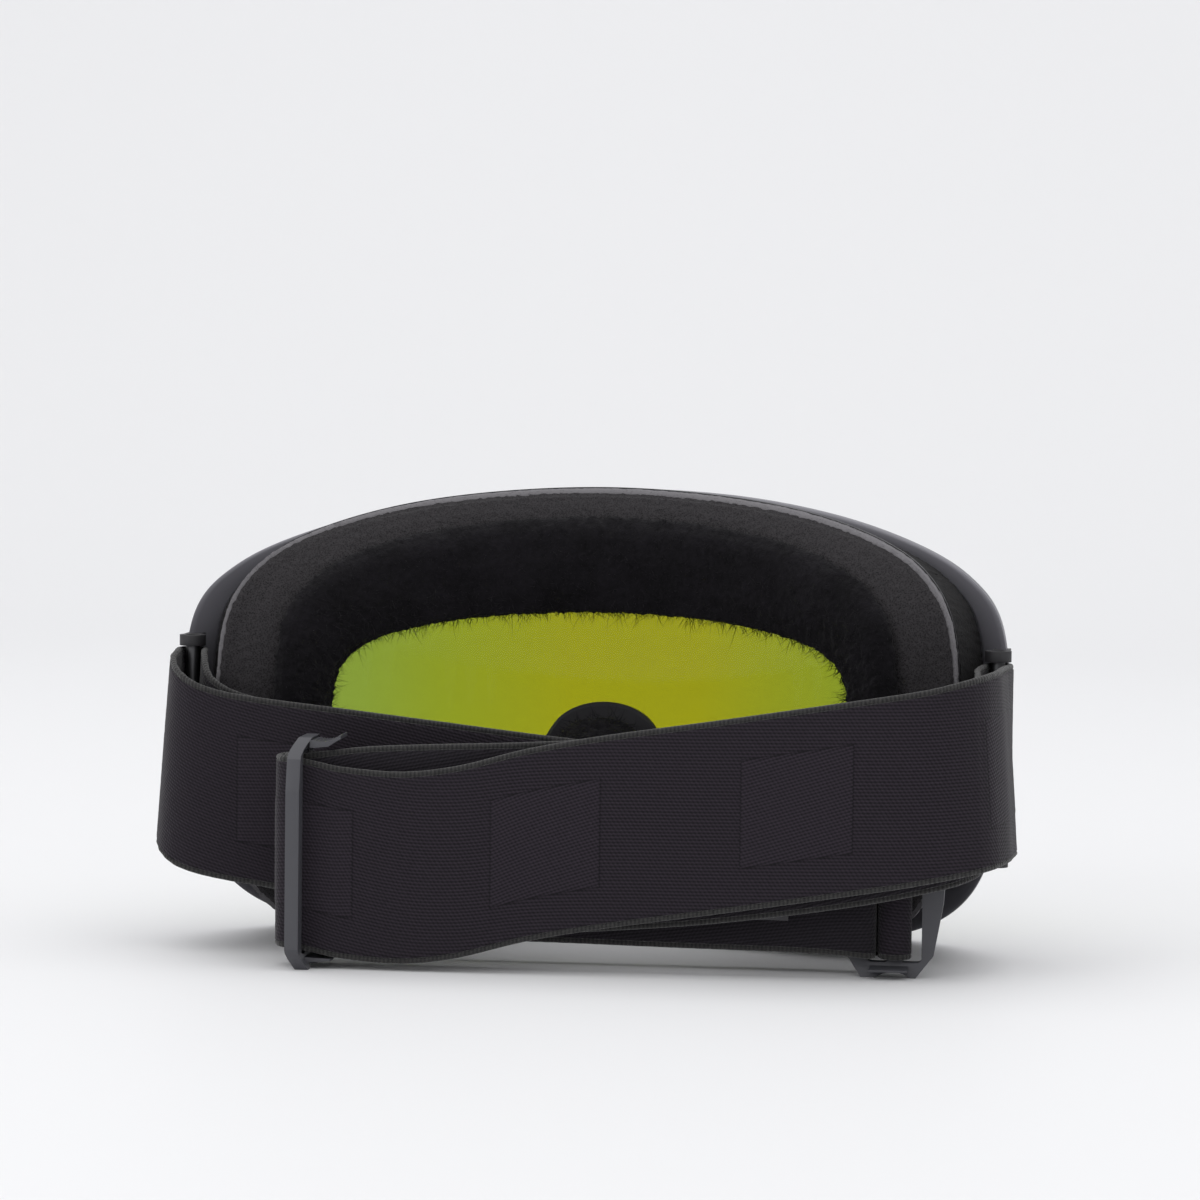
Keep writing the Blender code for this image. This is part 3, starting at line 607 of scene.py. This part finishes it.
# ---- vent foam: five pads lying in the channel between rim and flange ---------------------------------
VENT_LOW = 0.45
VENT_THICK = 1.3
inner_front = grown(SKIRT_FRONT_OUT, VENT_LOW)
inner_back = grown(SKIRT_BACK_OUT, VENT_LOW)
outer_front = grown(SKIRT_FRONT_OUT, VENT_LOW + VENT_THICK)
outer_back = grown(SKIRT_BACK_OUT, VENT_LOW + VENT_THICK)


def rough(amount, pitch, seed):
    """Moves each point by smooth noise, for the uneven surface of cut foam."""
    offset = Vector((seed * 7.3, seed * 3.1, seed * 5.7))

    def warp(point, _index):
        at = Vector(point) / pitch + offset
        return tuple(point[k] + amount * noise.noise(at + Vector((k * 9.1, 0, 0))) for k in range(3))
    return warp


def vent_section(rows=8):
    front = skirt_y - 0.6
    back = BACK_TOP + FLANGE_THICK + 0.5
    low, high = [], []
    for i in range(rows + 1):
        f = i / rows
        y = front + (back - front) * f
        sweep = SWEEP_LENS + (SWEEP_FLANGE - SWEEP_LENS) * f
        low.append((between(inner_front, inner_back, f), y, sweep))
        high.append((between(outer_front, outer_back, f), y, sweep))
    return low + high[::-1]


for word, start, end, side in (
        ("top", 0.0, 0.2425, 0), ("side_left", 0.2432, 0.527, -1), ("side_right", 0.2432, 0.527, 1),
        ("cheek_left", 0.5277, 0.75, -1), ("cheek_right", 0.5277, 0.75, 1)):
    pad = ring("vent_pad_" + word, vent_section(), start, end, 150, side, None, rough(0.28, 1.1, start + side))
    soften(pad, 60.0)
    put(pad, vent_mat, "goggles", "vent_foam", "vent_foam_" + word)

# ---- face cushion ------------------------------------------------------------------------------------------
FOAM_STEPS = 420
base_y = BACK_TOP - GAP
grey_y = base_y - 5.0
speck_y = grey_y - GAP
NAP = 0.45


def fill(section, pitch):
    """Adds stations between the corners of a section, so that each side has points to move."""
    out = []
    count = len(section)
    for i in range(count):
        a, b = section[i], section[(i + 1) % count]
        gap = max(abs(a[0][0] - b[0][0]), abs(a[0][1] - b[0][1]), abs(a[1] - b[1]))
        cuts = max(1, round(gap / pitch))
        for k in range(cuts):
            f = k / cuts
            out.append((between(a[0], b[0], f), a[1] + (b[1] - a[1]) * f, a[2] + (b[2] - a[2]) * f))
    return out


grey = ring("foam_grey", fill([
    (GREY_OUT, base_y, SWEEP_FLANGE), (grown(GREY_OUT, -0.15), grey_y + 0.5, SWEEP_FLANGE),
    (grown(GREY_OUT, -0.9), grey_y, SWEEP_FLANGE), (grown(FOAM_IN, 0.6), grey_y - 2.0, SWEEP_OPENING),
    (grown(FOAM_IN, 0.6), base_y - 2.0, SWEEP_OPENING)], 1.1), steps=FOAM_STEPS, warp=rough(0.16, 0.9, 1.0))
soften(grey, 70.0)
put(grey, grey_mat, "goggles", "grey_foam", "foam_base_grey")

speck = ring("foam_speckled", fill([
    (grown(GREY_OUT, -0.9), speck_y, SWEEP_FLANGE), (grown(GREY_OUT, -1.5), speck_y - 1.1, SWEEP_FLANGE),
    (SPECK_OUT, speck_y - 2.6, SWEEP_FLANGE), (between(SPECK_OUT, FLEECE_OUT, 0.5), speck_y - 5.0, 101.0),
    (FLEECE_OUT, speck_y - 6.6, 96.0), (grown(RIDGE_OUT, -1.0), speck_y - 9.4, 92.0),
    (grown(RIDGE_IN, 2.0), speck_y - 8.6, 90.0), (grown(FOAM_IN, 0.6), speck_y - 2.0, SWEEP_OPENING)], 0.8),
    steps=FOAM_STEPS, warp=rough(0.3, 0.8, 2.0))
soften(speck, 70.0)
put(speck, speck_mat, "goggles", "speckled_foam", "foam_middle_speckled")

fleece_skin = [
    (FLEECE_OUT, speck_y - 6.6 - NAP, 96.0), (grown(FLEECE_OUT, 0.2), speck_y - 8.4, 96.0),
    (between(FLEECE_OUT, RIDGE_OUT, 0.5), speck_y - 10.9, 94.0),
    (RIDGE_OUT, speck_y - 11.8, 92.0), (between(RIDGE_OUT, RIDGE_IN, 0.3), speck_y - 12.3, 91.3),
    (between(RIDGE_OUT, RIDGE_IN, 0.7), speck_y - 12.0, 90.6), (RIDGE_IN, speck_y - 11.0, 90.0),
    (between(RIDGE_IN, FLEECE_IN, 0.5), speck_y - 7.4, 88.6), (FLEECE_IN, speck_y - 3.6, SWEEP_OPENING),
    (grown(FLEECE_IN, 0.5), speck_y - 3.0, SWEEP_OPENING), (grown(FLEECE_IN, 1.4), speck_y - 3.2, SWEEP_OPENING),
    (grown(RIDGE_IN, 1.4), speck_y - 9.05, 90.0), (grown(RIDGE_OUT, -1.0), speck_y - 9.85, 92.0)]


def fleece_warp(point, _index):
    at = Vector(point)
    broad = noise.noise(at / 9.0 + Vector((4.1, 2.2, 9.3))) * 0.55
    clump = noise.noise(at / 1.7 + Vector((1.3, 7.7, 2.9))) * 0.55
    fine = noise.noise(at / 0.7 + Vector((8.2, 0.4, 5.5))) * 0.3
    away = Vector((at.x / 60.0, 0.0, (at.z - 50.0) / 40.0))
    moved = at - away.normalized() * (clump + fine) + Vector((0.0, -broad - 0.4 * fine, 0.0))
    return tuple(moved)


lining = ring("fleece_lining", fill(fleece_skin, 0.75), steps=520, warp=fleece_warp)
soften(lining, 75.0)
put(lining, fleece_mat, "goggles", "fleece", "face_fleece")


EDGE_TALLER = 2.3


def at_opening(p):
    """True on the lining's inner edge, where the nap stands out over the lens."""
    return abs(p.x) < 58.0 and p.z < 74.5


def fibres(name, source, count, length, radius, seed, keep):
    """Short closed tapering hairs standing on a surface, leaning at random."""
    rnd = random.Random(seed)
    mesh = source.data
    mesh.calc_loop_triangles()
    tris, run, total = [], [], 0.0
    for tri in mesh.loop_triangles:
        a, b, c = (mesh.vertices[i].co / MM for i in tri.vertices)
        if not keep((a + b + c) / 3.0):
            continue
        total += tri.area
        run.append(total)
        tris.append((a, b, c, tri.normal.copy()))
    verts, faces = [], []
    picks = np.searchsorted(np.array(run), [rnd.random() * total for _ in range(count)])
    for pick in picks:
        a, b, c, normal = tris[min(int(pick), len(tris) - 1)]
        u, v = rnd.random(), rnd.random()
        if u + v > 1:
            u, v = 1 - u, 1 - v
        root = a + (b - a) * u + (c - a) * v
        clump = 0.55 + 0.9 * max(0.0, 0.5 + noise.noise(root / 2.3))
        lean = Vector((rnd.gauss(0, 0.6), rnd.gauss(0, 0.6), rnd.gauss(0, 0.6)))
        up = (normal + lean).normalized()
        side = up.orthogonal().normalized()
        other = up.cross(side)
        tall = length * clump * rnd.uniform(0.45, 1.15)
        if at_opening(root):
            tall *= EDGE_TALLER
        curl = Vector((rnd.gauss(0, 0.35), rnd.gauss(0, 0.35), rnd.gauss(0, 0.35))) * tall
        base = len(verts)
        for level, shrink in ((-0.15, 1.0), (0.55, 0.8)):
            centre = root + up * tall * level + curl * max(0.0, level) ** 2
            for k in range(3):
                turn = 2 * math.pi * k / 3
                verts.append(tuple(centre + (side * math.cos(turn) + other * math.sin(turn)) * radius * shrink))
        verts.append(tuple(root + up * tall + curl))
        faces.append((base, base + 2, base + 1))
        for k in range(3):
            n = (k + 1) % 3
            faces.append((base + k, base + n, base + 3 + n, base + 3 + k))
            faces.append((base + 3 + k, base + 3 + n, base + 6))
    mesh = bpy.data.meshes.new(name)
    mesh.from_pydata([(x * MM, y * MM, z * MM) for x, y, z in verts], [], faces)
    obj = bpy.data.objects.new(name, mesh)
    bpy.context.scene.collection.objects.link(obj)
    return obj


def near_opening(p):
    return p.y < 22.0


hairs = fibres("fleece_nap", lining, 17000, 1.15, 0.05, 11, near_opening)
put(hairs, fleece_mat, "goggles", "fleece")

# ---- strap webbing: its middle line is read off the CAD solid, station by station ---------------------------


def strap_line():
    """Middle of the webbing at each station of the CAD solid, from the slider_right end on, in mm."""
    mesh = frame["nodes"]["strap_webbing"].data
    ids, points, beside, index = {}, [], [], []
    for v in mesh.vertices:
        key = tuple(round(c, 6) for c in v.co)
        if key not in ids:
            ids[key] = len(points)
            points.append(v.co / MM)
            beside.append(set())
        index.append(ids[key])
    for poly in mesh.polygons:
        loop = [index[i] for i in poly.vertices]
        for a, b in zip(loop, loop[1:] + loop[:1]):
            beside[a].add(b)
            beside[b].add(a)
    # every corner has six neighbours except those of the two cut ends
    level = {i: 0 for i in range(len(points)) if len(beside[i]) < 6 and points[i].x > 0}
    front = list(level)
    while front:
        after = []
        for a in front:
            for b in sorted(beside[a]):
                if b not in level:
                    level[b] = level[a] + 1
                    after.append(b)
        front = after
    rows = [[] for _ in range(max(level.values()) + 1)]
    for i, station in level.items():
        rows[station].append(points[i])
    return np.array([sum(row, Vector()) / len(row) for row in rows])


LINE = strap_line()
RUN = np.concatenate([[0.0], np.cumsum(np.linalg.norm(np.diff(LINE, axis=0), axis=1))])


def strap_at(run):
    """Point of the middle line at a length along the strap, with the horizontal normal there."""
    at = np.array([np.interp(run, RUN, LINE[:, k]) for k in range(3)])
    reach = 0.9
    ahead = np.array([np.interp(min(run + reach, RUN[-1]), RUN, LINE[:, k]) for k in range(3)])
    behind = np.array([np.interp(max(run - reach, 0.0), RUN, LINE[:, k]) for k in range(3)])
    along = ahead - behind
    flat = math.hypot(along[0], along[1])
    return at, np.array([along[1] / flat, -along[0] / flat, 0.0])


def lean_at(x, y):
    """Sideways lean of the webbing's upper edge past the bars, mm."""
    out = min(max((abs(x) - 74.0) / 10.0, 0.0), 1.0)
    back = min(max((SHIFT_Y - 16.0 - y) / 8.0, 0.0), 1.0)
    return -math.copysign(LEAN, x) * out * back


def crossings(x):
    """Lengths along the strap where the middle line crosses a plane of constant x."""
    out = []
    for i in range(len(LINE) - 1):
        a, b = LINE[i][0] - x, LINE[i + 1][0] - x
        if a * b < 0:
            out.append(RUN[i] + (RUN[i + 1] - RUN[i]) * a / (a - b))
    return out


CORD_R = 0.62
FACE_ROWS = 40


def block_relief(run, height):
    """0 outside the plain woven blocks, 1 inside, with a short slope."""
    near = abs(run % BLOCK_PITCH - BLOCK_PITCH / 2)
    gap = max(near - BLOCK_HALF[0], abs(height) - BLOCK_HALF[1])
    return min(1.0, max(0.0, 0.5 - gap / 0.8))


def strap_section():
    """Points round the webbing as (height, side offset, kind); kind 0 face, 1 cord."""
    half = WEB_W / 2 - 2 * CORD_R
    rows = [(-half + 2 * half * i / FACE_ROWS, 1, 0) for i in range(FACE_ROWS + 1)]
    around = []
    for i in range(11):
        turn = math.radians(-48 + 276 * i / 10)
        around.append((half + CORD_R * 0.95 + CORD_R * math.sin(turn), math.cos(turn), 1))
    front = [(v, 0.5 * (WEB_T - 0.12), 0) for v, _, _ in rows]
    top = [(v, CORD_R * c, 1) for v, c, _ in around]
    back = [(v, -0.5 * (WEB_T - 0.12), 0) for v, _, _ in rows[::-1]]
    low = [(-v, -h, 1) for v, h, _ in top]
    return front + top + back + low


def webbing(name, start, end, pitch=0.7):
    """One length of the webbing between two lengths along the strap, closed at both ends."""
    section = strap_section()
    steps = max(4, int((end - start) / pitch))
    verts, faces, uvs, kinds = [], [], [], []
    n = len(section)
    for i in range(steps + 1):
        run = start + (end - start) * i / steps
        at, side = strap_at(run)
        tip = lean_at(at[0], at[1]) / (WEB_W / 2)
        for k, (height, off, kind) in enumerate(section):
            bump = 0.0
            if kind == 0:
                bump = 0.13 * block_relief(run, height) * (1 if off > 0 else -1)
                bump += 0.05 * noise.noise(Vector((run / 1.1, height / 1.1, 3.0 if off > 0 else 9.0)))
            else:
                bump = 0.07 * math.sin(2 * math.pi * run / 0.9 + height) * (1 if off > 0 else -1)
            wave = 0.22 * noise.noise(Vector((run / 26.0, height / 30.0, 1.7)))
            out = off + bump + wave
            verts.append((at[0] + side[0] * out + tip * height, at[1] + side[1] * out, at[2] + height))
            uvs.append((run * MM, height * MM))
    for i in range(steps):
        for k in range(n):
            m = (k + 1) % n
            faces.append((i * n + k, (i + 1) * n + k, (i + 1) * n + m, i * n + m))
            cord_face = section[k][2] == 1 or section[m][2] == 1
            kinds.append(2 if cord_face else (0 if section[k][1] > 0 else 1))
    faces.append(tuple(range(n)))
    faces.append(tuple(range(steps * n + n - 1, steps * n - 1, -1)))
    kinds += [2, 2]
    mesh = bpy.data.meshes.new(name)
    mesh.from_pydata([(x * MM, y * MM, z * MM) for x, y, z in verts], [], faces)
    layer = mesh.uv_layers.new(name="weave")
    for loop in mesh.loops:
        layer.data[loop.index].uv = uvs[loop.vertex_index]
    for poly, kind in zip(mesh.polygons, kinds):
        poly.use_smooth = True
        poly.material_index = kind
    bm = bmesh.new()
    bm.from_mesh(mesh)
    bmesh.ops.recalc_face_normals(bm, faces=bm.faces)
    bm.to_mesh(mesh)
    bm.free()
    mesh.set_sharp_from_angle(angle=math.radians(60))
    obj = bpy.data.objects.new(name, mesh)
    bpy.context.scene.collection.objects.link(obj)
    for mat in (web_mat, inner_web_mat, cord_mat):
        mesh.materials.append(mat)
    return obj


LEAN = 1.35
SEAM_X = 0.0                   # here the webbing follows the goggles alone
BACK_SEAM_X = 30.0
inner_a, outer_a, strand_c = crossings(SEAM_X)[:3]
back_out, back_in = crossings(BACK_SEAM_X)[-2:]


def bends(obj):
    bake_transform(obj)
    return obj


first = bends(webbing("webbing_end_right", 0.0, inner_a))
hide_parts("strap_webbing")
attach(webbing("webbing_loop_left", inner_a, outer_a), "goggles")
bends(webbing("webbing_turn_right", outer_a, strand_c))
bends(webbing("webbing_turn_left", strand_c, back_out))
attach(webbing("webbing_loop_right", back_out, back_in), "goggles")
bends(webbing("webbing_end_left", back_in, float(RUN[-1])))

# ---- sliders ---------------------------------------------------------------------------------------------------
SLIDE_H = 47.6
SLIDE_T = 2.8
SLOT_X = (1.2, 5.6)            # inner and outer side of each slot from the middle
SLOT_Z = (3.0, 45.2)
TAB_X = (-4.9, 2.9)


def slab(outline, thick):
    """Flat outline (x, z) with a thickness along y, as one closed solid."""
    bm = bmesh.new()
    face = bm.faces.new([bm.verts.new((x * MM, -thick / 2 * MM, z * MM)) for x, z in outline])
    grown_part = bmesh.ops.extrude_face_region(bm, geom=[face])
    moved = [g for g in grown_part["geom"] if isinstance(g, bmesh.types.BMVert)]
    bmesh.ops.translate(bm, vec=(0, thick * MM, 0), verts=moved)
    bmesh.ops.recalc_face_normals(bm, faces=bm.faces[:])
    mesh = bpy.data.meshes.new("slab")
    bm.to_mesh(mesh)
    bm.free()
    obj = bpy.data.objects.new("slab", mesh)
    bpy.context.scene.collection.objects.link(obj)
    return obj


# one rail is upright down to a cut corner, the other tapers to both ends; the foot is notched
SLIDE_EDGE = [
    (-9.9, 4.4), (-6.8, 0.0), (-3.9, 0.0), (-2.2, 0.8), (0.0, 1.15), (1.9, 0.8), (3.4, 0.0),
    (4.5, 0.0), (8.0, 4.4), (9.9, 15.0), (10.4, 24.0), (10.0, 32.0), (8.2, 43.2), (4.6, SLIDE_H),
    (-4.6, SLIDE_H), (-8.4, 43.4), (-9.9, 37.0)]


def slider_bow(z):
    """How far the plate bends towards its thumb tabs at its two ends, mm."""
    low = max(0.0, 1.0 - z / 3.2)
    high = max(0.0, (z - 44.3) / (SLIDE_H - 44.3))
    return 1.6 * low + 1.7 * high ** 1.3


def profile_bar(profile, low, high):
    """Closed profile (y, z) carried along x from low to high."""
    bm = bmesh.new()
    face = bm.faces.new([bm.verts.new((low * MM, y * MM, z * MM)) for y, z in profile])
    part = bmesh.ops.extrude_face_region(bm, geom=[face])
    moved = [g for g in part["geom"] if isinstance(g, bmesh.types.BMVert)]
    bmesh.ops.translate(bm, vec=((high - low) * MM, 0, 0), verts=moved)
    bmesh.ops.recalc_face_normals(bm, faces=bm.faces[:])
    mesh = bpy.data.meshes.new("bar")
    bm.to_mesh(mesh)
    bm.free()
    obj = bpy.data.objects.new("bar", mesh)
    bpy.context.scene.collection.objects.link(obj)
    return obj


def thumb_tab():
    """Concave ribbed ramp at the top of the plate, tip outwards along -y."""
    top = []
    ribs = 9
    for i in range(ribs * 4 + 1):
        f = i / (ribs * 4)
        rib = 0.24 * abs(math.sin(math.pi * ribs * f))
        top.append((-3.4 - 5.6 * f, SLIDE_H - 0.55 - 2.2 * f + 3.3 * f * f + rib))
    tip = top[-1]
    under = [(tip[0] - 0.05, tip[1] - 0.7), (-7.8, SLIDE_H - 0.9), (-6.4, SLIDE_H - 1.8), (-3.6, SLIDE_H - 2.1)]
    return profile_bar(top + under + [(-2.6, SLIDE_H - 2.1), (-2.6, SLIDE_H - 0.5)], *TAB_X)


def foot_tab():
    under = [(-2.6, 1.2), (-4.0, 1.35), (-6.0, 1.5), (-7.2, 1.6), (-7.4, 1.9)]
    return profile_bar([(-0.6, 2.4), (-0.6, 1.2)] + under + [(-7.2, 2.1), (-4.0, 2.2)], *TAB_X)


def slider(name, body, node, centre, turn):
    plate = slab(SLIDE_EDGE, SLIDE_T)
    for way in (-1, 1):
        mid = way * (SLOT_X[0] + SLOT_X[1]) / 2
        cut = block((mid, 0, (SLOT_Z[0] + SLOT_Z[1]) / 2), (SLOT_X[1] - SLOT_X[0], 20.0, SLOT_Z[1] - SLOT_Z[0]))
        soften(cut, 30.0, 0.9, 4)
        mod = plate.modifiers.new("slot", "BOOLEAN")
        mod.solver = "EXACT"
        mod.object = cut
        bake(plate)
        bpy.data.objects.remove(cut, do_unlink=True)
    bm = bmesh.new()
    bm.from_mesh(plate.data)
    for k in range(1, 40):
        geom = bm.verts[:] + bm.edges[:] + bm.faces[:]
        at = (0, 0, SLIDE_H * k / 40 * MM)
        bmesh.ops.bisect_plane(bm, geom=geom, plane_co=at, plane_no=(0, 0, 1), dist=1e-7)
    for v in bm.verts:
        v.co.y -= slider_bow(v.co.z / MM) * MM
    bm.to_mesh(plate.data)
    bm.free()
    for extra in (thumb_tab(), foot_tab()):
        mod = plate.modifiers.new("tab", "BOOLEAN")
        mod.operation = "UNION"
        mod.solver = "EXACT"
        mod.object = extra
        bake(plate)
        bpy.data.objects.remove(extra, do_unlink=True)
    plate.name = name
    soften(plate, 28.0, 0.3, 3)
    plate.data.transform(Matrix.Translation(Vector(centre) * MM) @ Matrix.Rotation(math.radians(turn), 4, "Z"))
    return put(plate, slider_mat, body, "slider", node)


slider("slider_plate_left", "adjuster_left", "slider_left", (-55.7 + SHIFT_X, -49.3 + SHIFT_Y, 0.02), 90.0)
slider("slider_plate_right", "adjuster_right", "slider_right", (66.5 + SHIFT_X, -40.0 + SHIFT_Y, 0.02), 0.0)

# ---- strap bars and grip lines: the CAD shapes with rounded edges ---------------------------------------------------


def rounded_copy(node, name, body, mat, slot_name, bevel):
    obj = bpy.data.objects.new(name, frame["nodes"][node].data.copy())
    bpy.context.scene.collection.objects.link(obj)
    bm = bmesh.new()
    bm.from_mesh(obj.data)
    bmesh.ops.remove_doubles(bm, verts=bm.verts[:], dist=1e-6)
    bmesh.ops.dissolve_limit(bm, angle_limit=math.radians(2), verts=bm.verts[:], edges=bm.edges[:])
    bm.to_mesh(obj.data)
    bm.free()
    soften(obj, 35.0, bevel, 3)
    return put(obj, mat, body, slot_name, node)


bar_mat = plastic("strap bar steel", srgb(96, 96, 98), 0.45)
bar_mat.node_tree.nodes["Principled BSDF"].inputs["Metallic"].default_value = 1.0
silicone_mat = plastic("grip silicone", srgb(52, 50, 54), 0.5)
for word in ("left", "right"):
    rounded_copy("strap_bar_" + word, "wire_bar_" + word, "bar_" + word, bar_mat, "bar", 0.2)
for index in (1, 2, 3):
    name = "grip_line_%d" % index
    rounded_copy(name, "silicone_line_%d" % index, "goggles", silicone_mat, "silicone", 0.1)

# ---- studio: pale floor running up into the backdrop, soft light, camera ------------------------------------------


def backdrop():
    """Floor and wall as one curved sheet."""
    depth, rise, curve, wide = 0.9, 2.6, 0.7, 4.0
    profile = [(-2.2, 0.0), (-1.0, 0.0), (0.0, 0.0), (depth - curve * 0.5, 0.0)]
    for i in range(17):
        turn = math.pi / 2 * i / 16
        profile.append((depth + curve * math.sin(turn), curve * (1 - math.cos(turn))))
    profile.append((depth + curve, rise))
    verts = [(side * wide, y, z) for y, z in profile for side in (-1, 1)]
    faces = [(2 * i, 2 * i + 1, 2 * i + 3, 2 * i + 2) for i in range(len(profile) - 1)]
    mesh = bpy.data.meshes.new("backdrop")
    mesh.from_pydata(verts, [], faces)
    for poly in mesh.polygons:
        poly.use_smooth = True
    obj = bpy.data.objects.new("backdrop", mesh)
    bpy.context.scene.collection.objects.link(obj)
    m = Nodes("backdrop white")
    m.shader.inputs["Base Color"].default_value = (0.80, 0.80, 0.81, 1)
    m.shader.inputs["Roughness"].default_value = 0.6
    m.shader.inputs["Specular IOR Level"].default_value = 0.25
    obj.data.materials.append(m.mat)


def area_light(name, at, target, size, power, color=(1, 1, 1)):
    data = bpy.data.lights.new(name, "AREA")
    data.shape = "RECTANGLE"
    data.size = size[0]
    data.size_y = size[1]
    data.energy = power
    data.color = color
    obj = bpy.data.objects.new(name, data)
    obj.location = at
    obj.rotation_euler = (Vector(target) - Vector(at)).to_track_quat("-Z", "Y").to_euler()
    bpy.context.scene.collection.objects.link(obj)


def world(strength, color):
    w = bpy.data.worlds.new("studio")
    w.use_nodes = True
    sky = w.node_tree.nodes["Background"]
    sky.inputs["Color"].default_value = (*color, 1)
    sky.inputs["Strength"].default_value = strength
    bpy.context.scene.world = w


CAMERA_AIM = (0.0, SHIFT_Y, 44.7)       # mm
CAMERA_AZIMUTH = 6.9
CAMERA_ELEVATION = 5.1
CAMERA_AWAY = 1000.0
CAMERA_PITCH = 1.66                      # the axis points this far above the aim point
CAMERA_ROLL = 0.7
CAMERA_LENS = 139.5


def camera():
    a, e = math.radians(CAMERA_AZIMUTH), math.radians(CAMERA_ELEVATION)
    back = Vector((math.sin(a) * math.cos(e), -math.cos(a) * math.cos(e), math.sin(e)))
    data = bpy.data.cameras.new("camera")
    data.lens = CAMERA_LENS
    data.sensor_width = 36.0
    data.clip_start = 0.01
    data.clip_end = 50.0
    obj = bpy.data.objects.new("camera", data)
    bpy.context.scene.collection.objects.link(obj)
    spin = (-back).to_track_quat("-Z", "Y").to_matrix().to_4x4()
    spin = spin @ Matrix.Rotation(math.radians(CAMERA_PITCH), 4, "X")
    spin = spin @ Matrix.Rotation(math.radians(CAMERA_ROLL), 4, "Z")
    obj.matrix_world = Matrix.Translation((Vector(CAMERA_AIM) + back * CAMERA_AWAY) * MM) @ spin
    bpy.context.scene.camera = obj


backdrop()
world(0.80, (0.985, 0.99, 1.0))
area_light("overhead", (0.0, -0.1, 1.5), (0, 0, 0), (2.4, 2.0), 14.0)
area_light("front_left", (-1.3, -1.4, 0.9), (0, 0, 0.05), (1.0, 1.0), 6.0)
camera()
scene = bpy.context.scene
scene.view_settings.view_transform = "Standard"
scene.view_settings.look = "None"
